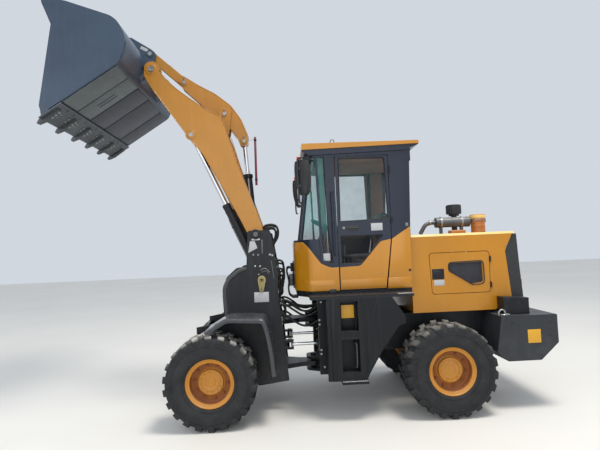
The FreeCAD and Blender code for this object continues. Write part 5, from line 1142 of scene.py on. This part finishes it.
# fenders: one bent sheet each, rolled down at both long edges
FEND = spline([(2474, 978), (2420, 1008), (2340, 1054), (2276, 1088), (2225, 1098), (2120, 1094), (2000, 1086), (1920, 1082), (1880, 1070), (1854, 1034), (1834, 970), (1815, 880), (1800, 790), (1789, 700), (1780, 600), (1773, 512)], 18.0)
P = Piece("curved_fenders", "front_chassis", ["glossblack", "black", "zinc", "steel"])
for s in (1, -1):
    grid, th = [], []
    for yy, drop in ((470, 0), (476, -1.5), (520, -1), (640, 0.5), (760, 0.5), (880, 0), (914, -0.5), (924, 2.5), (929.5, 8), (930, 16), (930, 40)):
        row, tr = [], []
        for i, q in enumerate(FEND):
            a, c = FEND[max(i - 1, 0)], FEND[min(i + 1, len(FEND) - 1)]
            tx, tz = c[0] - a[0], c[1] - a[1]
            L = math.hypot(tx, tz)
            nx, nz = -tz / L, tx / L
            if nx * (2431 - q[0]) + nz * (470 - q[1]) < 0:
                nx, nz = -nx, -nz
            far = math.hypot(q[0] - 2431, q[1] - 470)
            dd = min(drop, max(2.0, far - 486.0)) if drop > 0 else drop
            row.append((q[0] + nx * dd, s * yy, q[1] + nz * dd))
            tr.append((nx * 7, 0, nz * 7) if yy < 925 else (nx * 1.0, -s * 7, nz * 1.0))
        grid.append(row)
        th.append(tr)
    sheet_solid(P, grid, th, 0)
    # second pressing line inside the rolled edge
    P.tube([(x, s * 905, z + 2.0) for x, z in FEND[6:-4]], 3.0, 8, 0)
    P.box(1905, 1965, *sorted((s * 436, s * 474)), 985, 1068, 5, 1)
    for z in (1010, 1046):
        P.bolt((1935, s * 474, z), (0, s, 0), 18, 8, 2, washer=False)
P.smooth = 60.0
P.done(replaces=("front_fenders",), slot="paint_black")

P = Piece("front_plate_trims", "front_chassis", ["black", "zinc"])
P.box(2606, 2612, -120, 120, 700, 840, 3, 0)
for y in (-100, 100):
    for z in (720, 820):
        P.bolt((2620, y, z), (1, 0, 0), 22, 10, 1)
P.done(slot="paint_black")

# ------------------------------------------------------------------ cab: lining, seat, controls


def cushion(name, lo, hi, crown, seams, body="rear_chassis", fill=0.7, tilt=0.0):
    """Crowned pad in the box lo-hi (mm): subdivided cage, sides pulled in between the corners, sewn channels as real grooves."""
    P = Piece(name, body, ["vinyl"])
    b = bmesh.new()
    bmesh.ops.create_cube(b, size=2.0)
    bmesh.ops.subdivide_edges(b, edges=list(b.edges), cuts=11, use_grid_fill=True)
    cx, cy, cz = [(lo[i] + hi[i]) / 2 for i in range(3)]
    hx, hy, hz = [(hi[i] - lo[i]) / 2 for i in range(3)]
    thin = min(range(3), key=lambda i: (hx, hy, hz)[i])
    for v in b.verts:
        p = list(v.co)
        q = [0, 0, 0]
        for i in range(3):
            o1, o2 = p[(i + 1) % 3], p[(i + 2) % 3]
            q[i] = p[i] * (1 - 0.055 * (abs(o1) ** 5 + abs(o2) ** 5) - (0.03 if i != thin else 0.0) * (1 - p[thin] ** 2 if i != thin else 0))
        edge = max(abs(p[j]) for j in range(3) if j != thin)
        q[thin] *= (1 - crown * edge ** 3)
        for axis, at, depth in seams:
            dd = abs(p[axis] - at)
            if dd < 0.16 and axis != thin and p[thin] > 0.3:
                q[thin] -= depth * (1 - dd / 0.16) ** 1.5
        v.co = m(cx + q[0] * hx, cy + q[1] * hy, cz + q[2] * hz)
    P.merge(b, 0)
    o = P.done(smooth=80)
    sub = o.modifiers.new("sub", "SUBSURF")
    sub.levels = sub.render_levels = 1
    return o


seat_a = cushion("seat_cushion", (474, -238, 1562), (898, 238, 1679), 0.22, [(0, -0.35, 0.14), (0, 0.1, 0.14), (1, -0.62, 0.12), (1, 0.62, 0.12)])
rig.padded(seat_a, fill=0.7)
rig.replaces(seat_a, "operator_seat")
seat_b = cushion("seat_back", (402, -226, 1690), (500, 226, 2158), 0.2, [(2, -0.4, 0.16), (2, 0.1, 0.16), (2, 0.55, 0.16), (1, -0.62, 0.12), (1, 0.62, 0.12)])
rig.padded(seat_b, fill=0.7)
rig.replaces(seat_b, "operator_seat")
P = Piece("seat_shell", "rear_chassis", ["plastic", "zinc"])
P.box(404, 432, -222, 222, 1575, 2120, 14, 0, 3)
for s in (1, -1):
    P.tube([(440, s * 232, 1600), (520, s * 233, 1592), (640, s * 233, 1592), (800, s * 233, 1600)], 5, 8, 1)
P.done(slot="cap_black")

P = Piece("cab_inner_lining", "rear_chassis", ["lining", "cabblack", "plastic"])
P.box(270, 1240, -566, 566, 2737, 2751.5, 4, 0)
for s in (1, -1):
    P.prism([(290, 2735), (455, 2735), (455, 1320), (300, 1320), (290, 1980)], *sorted((s * 569.5, s * 574.5)), plane="xz", bevel=1.5, k=0)
    P.prism([(1064, 2735), (1140, 2735), (1130, 2000), (1100, 1660), (1066, 1320)], *sorted((s * 569.5, s * 574.5)), plane="xz", bevel=1.5, k=0)
P.box(330, 1240, -300, 300, 2729, 2737, 3, 0)
P.done(slot="cap_black")

for tag, s in (("left", 1), ("right", -1)):
    P = Piece("door_trim_" + tag, "cab_door_" + tag, ["lining", "plastic", "zinc", "label_white", "seal", "cabblack"])
    P.prism([(500, 2046), (1034, 2034), (1034, 1888), (548, 1888)], *sorted((s * 586, s * 589.7)), plane="xz", bevel=1.2, k=0)
    P.prism([(488, 2748), (512, 2729), (497, 2046), (488, 2040)], *sorted((s * 586, s * 589.7)), plane="xz", bevel=1.0, k=0)
    P.tube([(700, s * 586, 1955), (700, s * 560, 1958), (860, s * 560, 1958), (860, s * 586, 1955)], 9, 10, 1)
    if s < 0:
        P.prism([(548, 1888), (1034, 1888), (1034, 1560), (790, 1560), (604, 1806)], -589.7, -583, plane="xz", bevel=3, k=1)
        P.box(700, 1010, -582.9, -540, 1600, 1760, 14, 1, 3)
    # outside: bare plate, lock, pull handle, window seals
    P.box(571, 696, *sorted((s * 620.2, s * 621.4)), 1930, 2010, 0.5, 3)
    P.turn((992, s * 620.2, 1971), (0, s, 0), [(0, 0), (0, 14), (4, 14), (5, 12), (5, 6), (3, 5), (3, 0)], 24, 2)
    P.box(830, 960, *sorted((s * 620.2, s * 623.5)), 1938, 1992, 3, 1)
    P.tube([(846, s * 622, 1965), (850, s * 632, 1966), (940, s * 632, 1966), (944, s * 622, 1965)], 6, 10, 1)
    for ring in ([(1025, 2735), (515, 2728), (500, 2048), (1033, 2037)], [(1030, 1885), (560, 1885), (618, 1818), (800, 1580), (1030, 1580)]):
        cxx = sum(p[0] for p in ring) / len(ring)
        czz = sum(p[1] for p in ring) / len(ring)
        pts = [(p[0] + (6 if p[0] < cxx else -6), s * 608.5, p[1] + (6 if p[1] < czz else -6)) for p in ring]
        for a_, b_ in zip(pts, pts[1:] + pts[:1]):
            P.rod(a_, b_, 5.5, 8, 4, 0.3)
    P.done(slot="paint_black")

    P = Piece("door_press_" + tag, "cab_door_" + tag, ["yellow", "black"])
    P.prism([(1044, 1411), (571, 1416), (565, 1318), (1044, 1318)], *sorted((s * 627.5, s * 630.4)), plane="xz", bevel=2.2)
    P.done(slot="paint_yellow")

HALF = spline([(1066, 628), (1160, 628), (1252, 628), (1312, 627.5), (1345, 624), (1368, 612), (1386, 594), (1409, 556), (1437, 510), (1468, 460), (1496, 412), (1517, 372), (1531, 330), (1538, 280), (1540, 200), (1541, 100), (1541, 0)], 16.0)
NOSE = HALF + [(x, -y) for x, y in reversed(HALF[:-1])]


def nose_top(x):
    """Height of the yellow's upper edge at x: level at the front, falling along the cab pillar towards the door."""
    pts = [(1066, 1549), (1134, 1549), (1170, 1556), (1252, 1594), (1340, 1711), (1424, 1818), (1440, 1832), (1452, 1838), (1600, 1838)]
    for (x0, z0), (x1, z1) in zip(pts, pts[1:]):
        if x <= x1:
            return z0 + (z1 - z0) * (x - x0) / (x1 - x0)
    return pts[-1][1]


def nose_skin(P, path, inset, low, high, thick, k, press=0.0):
    nrm = []
    for i, q in enumerate(path):
        a, c = path[max(i - 1, 0)], path[min(i + 1, len(path) - 1)]
        tx, ty = c[0] - a[0], c[1] - a[1]
        L = math.hypot(tx, ty)
        nx, ny = -ty / L, tx / L
        if nx * (q[0] - 900) + ny * q[1] < 0:
            nx, ny = -nx, -ny
        nrm.append((nx, ny))
    grid, th = [], []
    for j in range(30):
        row, tr = [], []
        for q, (nx, ny) in zip(path, nrm):
            zl, zh = low(q[0]), high(q[0])
            edge = [0.0, 3.0, 8.0, 60.0, 104.0, 107.0, 110.0]
            if j < 7:
                z = zl + edge[j]
            elif j > 26:
                z = zh - (9.0, 3.0, 0.0)[j - 27]
            else:
                z = zl + 110.0 + (zh - 9.0 - zl - 110.0) * (j - 6) / 21.0
            o = -inset
            o -= (2.5, 0.8)[j] if j < 2 else 0.0
            o -= (0.0, 0.8, 2.5)[j - 27] if j > 26 else 0.0
            inside = max(0.0, min(1.0, (q[0] - 1132) / 8.0)) * max(0.0, min(1.0, (1448 - q[0]) / 8.0)) if press else 0.0
            o += press * inside if 1 <= j <= 4 else press * inside * 0.5 if j == 5 else 0.0
            row.append((q[0] + nx * o, q[1] + ny * o, z))
            tr.append((-nx * thick, -ny * thick, 0))
        grid.append(row)
        th.append(tr)
    sheet_solid(P, grid, th, k)


P = Piece("nose_and_quarters", "rear_chassis", ["yellow", "cabblack", "hole_brown", "seal"])
nose_skin(P, NOSE, 0.0, lambda x: 1301.0, nose_top, 7.0, 0, press=2.6)
nose_skin(P, NOSE, 7.2, lambda x: nose_top(x) - 140.0, lambda x: 1838.0 if x > 1330 else min(1838.0, nose_top(x) + 30.0), 5.0, 1)
for s in (1, -1):
    P.prism([(475, 1834), (272, 1962), (272, 1301), (549, 1301)], *sorted((s * 620.3, s * 628)), plane="xz", bevel=3.0, k=0)
    P.prism([(536, 1414), (300, 1416), (300, 1310), (546, 1310)], *sorted((s * 626, s * 630.4)), plane="xz", bevel=2.4, k=0)
    # dark disc in place of the hole: painted shade
    P.turn((299, s * 628, 1488), (0, s, 0), [(0, 0), (0, 15), (1.2, 14), (0.6, 11), (0.6, 0)], 28, 2)
P.smooth = 50.0
P.done(replaces=("cab_lower_panels",), slot="paint_yellow")

P = Piece("cab_pressings", "rear_chassis", ["yellow", "black", "label_white", "rubber", "zinc", "cabblack", "lens_orange"])
for s in (1, -1):
    P.box(1151, 1238, *sorted((s * 605.8, s * 607)), 1624, 1704, 0.5, 2)
    # grab rail on the pillar
    P.tube([(1104, s * 618, 1690), (1106, s * 652, 1702), (1106, s * 655, 1760), (1108, s * 655, 2300), (1108, s * 652, 2350), (1106, s * 618, 2362)], 13, 14, 5)
    for z in (1690, 2362):
        P.turn((1105, s * 618, z), (0, s, 0), [(0, 0), (0, 24), (4, 23), (5, 14), (5, 0)], 24, 5)
    # rubber stop under the door's front edge
    P.box(1106, 1176, *sorted((s * 605, s * 634)), 1268, 1322, 6, 3)
    # small fitting at the top rear of the quarter panel
    P.box(292, 322, *sorted((s * 612, s * 634)), 1962, 2000, 5, 4)
    P.bolt((307, s * 634, 1981), (0, s, 0), 18, 9, 4)
# roof hook
P.tube([(1100, 632, 2880), (1100, 634, 2908), (1090, 634, 2932), (1070, 634, 2936), (1058, 634, 2914), (1058, 632, 2880)], 6, 10, 4)
P.done(slot="paint_yellow")

P = Piece("cab_pillar_seams", "rear_chassis", ["seal", "cabblack"])
for s in (1, -1):
    P.tube([(1180, s * 614, 2740), (1170, s * 614, 2300), (1160, s * 614, 1990), (1130, s * 614, 1660)], 4, 8, 0)
    P.rod((478, s * 613, 2748), (478, s * 613, 1850), 4, 8, 0)
P.done(slot="paint_black")

P = Piece("dash_details", "rear_chassis", ["plastic", "zinc", "seal", "lens_clear"])
P.prism([(1330, 1786), (1200, 1786), (1176, 1830), (1196, 1862), (1262, 1866), (1326, 1820)], -148, 148, "xz", 12, 0, 3)
for y in (-60, 60):
    P.turn((1186, y, 1846), (-0.9, 0, 0.42), [(0, 0), (0, 30), (4, 29), (5, 26), (2.5, 24), (2.5, 0)], 32, 3)
P.tube([(1150, 60, 1985), (1150, 130, 1996), (1150, 178, 2002)], 6, 10, 0)
P.tube([(1000, 300, 1560), (1004, 300, 1700), (1010, 300, 1790)], 10, 12, 1)
P.tube([(940, -300, 1560), (936, -300, 1700), (930, -300, 1800)], 9, 12, 1)
P.tube([(880, -300, 1560), (876, -300, 1700), (870, -300, 1790)], 9, 12, 1)
for y, x, z in ((300, 1010, 1800), (-300, 930, 1812), (-300, 870, 1802)):
    P.turn((x, y, z), (0, 0, 1), [(-18, 0), (-14, 14), (0, 22), (14, 18), (22, 0)], 20, 0)
P.box(380, 1050, -420, -260, 1300.5, 1560, 20, 0, 3)
P.box(940, 1040, 262, 338, 1300.5, 1560, 14, 0, 3)
P.done(slot="cap_black")

# mirrors on their arms
P = Piece("mirror_heads", "rear_chassis", ["plastic", "mirror", "cabblack", "lens_orange", "zinc"])
for s in (1, -1):
    P.tube([(1296, s * 622, 2712), (1340, s * 660, 2722), (1400, s * 704, 2736), (1446, s * 716, 2730), (1466, s * 716, 2690), (1466, s * 716, 2400), (1462, s * 716, 2262), (1440, s * 712, 2250)], 10, 12, 2)
    b = bmesh.new()
    bmesh.ops.create_cube(b, size=2.0)
    bmesh.ops.subdivide_edges(b, edges=list(b.edges), cuts=7, use_grid_fill=True)
    for v in b.verts:
        x, y, z = v.co
        r = max(0.0, abs(y) ** 4 + abs(z) ** 4)
        y2 = y * (1 - 0.12 * z * z - 0.42 * max(0, -z) ** 2)
        z2 = z * (1 - 0.06 * y * y)
        x2 = x * (1 - 0.45 * min(1, r * 0.5)) if x > 0 else x * 1.0
        v.co = Vector((x2 * 0.034, y2 * 0.098, z2 * 0.190))
    b.transform(Matrix.Translation(m(1418, s * 700, 2520)) @ Matrix.Rotation(math.radians(s * 38), 4, "Z") @ Matrix.Rotation(math.radians(4), 4, "Y"))
    bmesh.ops.recalc_face_normals(b, faces=list(b.faces))
    P.merge(b, 0)
    b = bmesh.new()
    bmesh.ops.create_cube(b, size=2.0)
    for v in b.verts:
        v.co = Vector((v.co.x * 0.003 - 0.0355, v.co.y * 0.080, v.co.z * 0.160))
    bmesh.ops.bevel(b, geom=list(b.edges), offset=0.003, segments=2, affect="EDGES")
    b.transform(Matrix.Translation(m(1418, s * 700, 2520)) @ Matrix.Rotation(math.radians(s * 38), 4, "Z") @ Matrix.Rotation(math.radians(4), 4, "Y"))
    P.merge(b, 1)
    for z in (2430, 2620):
        P.box(1430, 1472, *sorted((s * 698, s * 728)), z - 16, z + 16, 5, 2)
    P.box(1430, 1476, *sorted((s * 660, s * 704)), 2700, 2752, 9, 3, 3)
P.done(replaces=("mirrors",), slot="mirror")

P = Piece("front_lamps", "rear_chassis", ["plastic", "lens_clear", "zinc"])
for s in (1, -1):
    y = s * 440
    P.box(1350, 1398, *sorted((s * 384, s * 496)), 2700, 2784, 16, 0, 4)
    P.box(1396, 1411, *sorted((s * 388, s * 492)), 2704, 2780, 10, 2, 3)
    P.box(1408, 1412, *sorted((s * 395, s * 485)), 2711, 2773, 6, 1, 3)
    P.box(1372, 1396, *sorted((s * 430, s * 450)), 2780, 2792, 3, 0)
    P.prism([(1345, 2790), (1352, 2720), (1362, 2716), (1362, 2730), (1356, 2790)], *sorted((s * 505, s * 530)), plane="xz", bevel=2, k=2)
P.done(replaces=("work_lamps",), slot="lamp")

# ------------------------------------------------------------------ hood, exhaust and rear
for tag, s in (("left", 1), ("right", -1)):
    P = Piece("engine_door_trim_" + tag, "engine_door_" + tag, ["vent", "black", "label_white", "zinc", "yellow", "seal"])
    P.prism([(-142, 1538), (-519, 1544), (-521, 1322), (-398, 1306), (-154, 1454)], *sorted((s * 550, s * 552)), plane="xz", bevel=0.4, k=0)
    # black rubber frame round the vent, corners well rounded
    ring = spline([(-150, 1508), (-156, 1532), (-182, 1547), (-330, 1551), (-490, 1554), (-520, 1545), (-534, 1515), (-536, 1420), (-534, 1338), (-520, 1312), (-488, 1300), (-430, 1298), (-396, 1301), (-280, 1374), (-166, 1446), (-150, 1466), (-146, 1490), (-150, 1508)], 16.0)
    P.tube([(x, s * 560.5, z) for x, z in ring], 6.5, 8, 5, caps=False)
    # latch with rounded corners and its bare plate
    P.box(-94, 40, *sorted((s * 559.6, s * 563.2)), 1368, 1482, 3.5, 1, 3)
    P.box(-70, 14, *sorted((s * 562.8, s * 567)), 1396, 1456, 4, 1, 3)
    P.box(-92, 22, *sorted((s * 559.9, s * 561.1)), 1300, 1362, 0.5, 2)
    P.done(slot="paint_yellow")

P = Piece("hood_trims", "rear_chassis", ["yellow", "black", "zinc", "label_white", "lens_red", "lens_orange", "plastic", "yellow_pale"])
for s in (1, -1):
    # thin pale strip on the chamfer between the hood's side and top: painted highlight
    P.prism([(s * 559.4, 1839.5), (s * 560.6, 1840.2), (s * 537.0, 1865.6), (s * 535.8, 1865.0)], -903, 266, plane="yz", bevel=0.0, k=7)
    for x in (-800, -640, 120, 240):
        P.bolt((x, s * 560.2, 1706), (0, s, 0), 16, 7, 2, washer=True) if x in (-800,) else None
    # hinge knuckles at the door's rear edge
    for z in (1290, 1560):
        P.rod((-622, s * 564, z - 34), (-622, s * 564, z + 34), 8, 14, 0)
    P.box(-964, -944, *sorted((s * 478, s * 540)), 1200, 1330, 5, 4)
    P.box(-957, -940, *sorted((s * 478, s * 540)), 1336, 1386, 5, 5)
P.done(slot="paint_yellow")

P = Piece("exhaust_details", "rear_chassis", ["muffler", "steel", "zinc", "orange"])
for x in (-192, -222, -384, -560, -590):
    P.turn((x, 90, 2010), (1, 0, 0), [(-5, 60), (-4, 62.5), (4, 62.5), (5, 60)], 56, 0)
for x in (-250, -500):
    P.turn((x, 90, 2010), (1, 0, 0), [(-12, 60.2), (-12, 63.5), (12, 63.5), (12, 60.2)], 56, 1)
    P.bolt((x, 90, 2073), (0, 0, 1), 15, 8, 2)
P.turn((-188, 90, 2010), (1, 0, 0), [(0, 60), (6, 52), (10, 30), (10, 0)], 56, 0)
P.box(-530, -350, 40, 150, 1864, 1912, 10, 3, 3)
P.turn((-120, 90, 2012), (1, 0, 0), [(-9, 24.2), (-9, 31), (9, 31), (9, 24.2)], 32, 1)
P.done(slot="muffler_steel")

P = Piece("air_cleaner_details", "rear_chassis", ["orange", "plastic", "zinc", "label_white", "yellow_pale"])
for z in (1884, 1946):
    P.turn((-688, 130, z), (0, 0, 1), [(-6, 80), (-5, 83), (5, 83), (6, 80)], 56, 0)
P.turn((-688, 130, 2010), (0, 0, 1), [(8, 88), (8, 90), (22, 90), (22, 88)], 56, 2)
P.turn((-688, 130, 2010), (0, 0, 1), [(30, 88.2), (34, 89.5), (68, 89.5), (76, 85), (81, 66), (82, 0)], 56, 4)
for i in range(3):
    a = 0.7 + i * 2.094
    P.box(-688 + 84 * math.cos(a) - 7, -688 + 84 * math.cos(a) + 7, 130 + 84 * math.sin(a) - 7, 130 + 84 * math.sin(a) + 7, 1990, 2030, 3, 2)
P.turn((-486, -90, 2118), (0, 0, 1), [(108, 88), (113, 84), (118, 60), (120, 30), (120, 0)], 48, 1)
for i in range(24):
    a = 2 * math.pi * i / 24
    P.box(-486 + 88 * math.cos(a) - 4, -486 + 88 * math.cos(a) + 4, -90 + 88 * math.sin(a) - 4, -90 + 88 * math.sin(a) + 4, 2126, 2216, 2, 1)
P.done(slot="cleaner_orange")

P = Piece("counterweight_trims", "rear_chassis", ["weight", "label_yellow", "zinc", "lens_red", "steel"])
for s in (1, -1):
    P.box(-990, -853, *sorted((s * 799.8, s * 801.2)), 689, 827, 0.5, 1)
    for x, z in ((-1090, 900), (-1090, 760), (-700, 900)):
        P.turn((x, s * 799.8, z), (0, s, 0), [(0, 0), (0, 20), (3, 19), (3, 12), (-6, 10)], 24, 0)
    # lifting eye lying beside the battery box
    P.tube([(-590, s * 742, 974), (-586, s * 742, 1004), (-604, s * 742, 1030), (-632, s * 742, 1034), (-652, s * 742, 1014), (-652, s * 742, 974)], 10, 12, 4)
    P.tube([(-700, s * 716, 986), (-660, s * 724, 985), (-628, s * 734, 985), (-606, s * 756, 985), (-640, s * 776, 985), (-690, s * 770, 986)], 8, 12, 4)
P.done(slot="paint_black")

P = Piece("battery_box_trims", "rear_chassis", ["black", "zinc"])
for s in (1, -1):
    P.prism([(-658, 1136), (-658, 1158), (-664, 1162), (-938, 1146), (-941, 1140), (-941, 1134)], *sorted((s * 561, s * 707)), plane="xz", bevel=3, k=0)
    for x in (-880, -720):
        P.box(x - 11, x + 11, *sorted((s * 705, s * 709)), 1086, 1140, 2, 0)
P.done(slot="paint_black")

# ------------------------------------------------------------------ step boxes
# the step pieces take the darker stepblack copy of the frame black: painted shade
P = Piece("step_details", "rear_chassis", ["stepblack", "zinc", "label_yellow", "steel", "plastic", "pale_paint", "glossblack"])
for s in (1, -1):
    yo = s * 850
    # lips on the recesses
    P.box(912, 1102, *sorted((s * 846, s * 853)), 822, 842, 3, 0)
    P.box(912, 1102, *sorted((s * 846, s * 853)), 892, 908, 3, 0)
    # tread teeth on two of the three treads
    for z, x0, x1, y0, y1 in ((411, 844, 1106, 640, 868), (830.3, 922, 1092, 760, 848)):
        n = 12
        for i in range(n):
            x = x0 + (x1 - x0) * (i + 0.5) / n
            P.box(x - 4, x + 4, *sorted((s * (y1 - 26), s * (y1 - 4))), z, z + 5, 1.2, 3)
            P.box(x - 4, x + 4, *sorted((s * (y0 + 20), s * (y0 + 42))), z, z + 5, 1.2, 3)
    P.rod((842, s * 869, 408), (1108, s * 869, 408), 3.5, 10, 3)
    # D-shaped grab bar in the lower recess
    P.tube([(956, s * 741, 520), (950, s * 812, 528), (946, s * 826, 560), (942, s * 826, 740), (948, s * 812, 778), (956, s * 741, 786)], 10, 12, 6)
    # bare yellow plate on the cover at the back of the upper recess
    P.box(945, 1078, *sorted((s * 747.5, s * 748.8)), 1026, 1161, 0.6, 2)
    P.box(940, 1083, *sorted((s * 741, s * 748)), 909, 1170, 3, 0, 3)
    # rounded post at the front corner
    P.turn((1218, s * 830, 412), (0, 0, 1), [(0, 0), (0, 28), (4, 30), (812, 30), (816, 28), (816, 0)], 32, 0)
    P.prism([(1150, 1228), (1186, 1228), (1194, 420), (1158, 420)], *sorted((yo, s * 853)), plane="xz", bevel=1.5, k=0)
    P.prism([(862, 1230), (880, 1230), (850, 980), (850, 470), (834, 470), (832, 990)], *sorted((yo, s * 853)), plane="xz", bevel=1.5, k=0)
    P.prism([(700, 1228), (728, 1228), (820, 905), (812, 850), (790, 905)], *sorted((yo, s * 852.6)), plane="xz", bevel=1.2, k=0)
    # bolts on the front mounting plate
    for x, z in ((1275, 1186), (1298, 996), (1298, 950), (1290, 679), (1292, 638), (1262, 500)):
        P.bolt((x, s * 600.2, z), (0, s, 0), 20, 10, 3)
    # platform edge: bright worn lip and anti-slip studs
    P.rod((330, s * 849.5, 1266), (1396, s * 849.5, 1266), 3.0, 8, 0)
    P.box(330, 500, *sorted((s * 790, s * 853)), 1262, 1271, 3, 3)
    for i in range(16):
        for j in range(3):
            P.turn((360 + 66 * i, s * (668 + 66 * j), 1267.5), (0, 0, 1), [(0, 11), (0, 13), (3, 11), (3, 7), (0.5, 6)], 12, 0)
P.done(slot="paint_black")

P = Piece("steering_pin_caps", "rear_chassis", ["steel"])
for s in (1, -1):
    P.turn((800, s * 300, 760), (0, 0, 1), [(0, 0), (0, 24), (6, 23), (8, 16), (8, 0)], 32, 0)
P.done(slot="pin_steel")


# ------------------------------------------------------------------ floor
fl = bmesh.new()
bmesh.ops.create_grid(fl, x_segments=8, y_segments=8, size=30.0)
fme = bpy.data.meshes.new("floor")
fl.to_mesh(fme)
fl.free()
floor = bpy.data.objects.new("floor", fme)
bpy.context.scene.collection.objects.link(floor)
fm = surface("floor_concrete", (0.80, 0.78, 0.74), rough=0.8, vary=0.03, dust=0.0, bump=0.05, grain=30, bevel=0.0, big=0.4)
fme.materials.append(fm)
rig.stage(floor)

size = {"cad": [list(CAD_BOX[0]), list(CAD_BOX[1])]}
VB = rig.bounds()
size["visual"] = [list(VB[0]), list(VB[1])]
with open("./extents.json", "w") as f:
    json.dump(size, f)
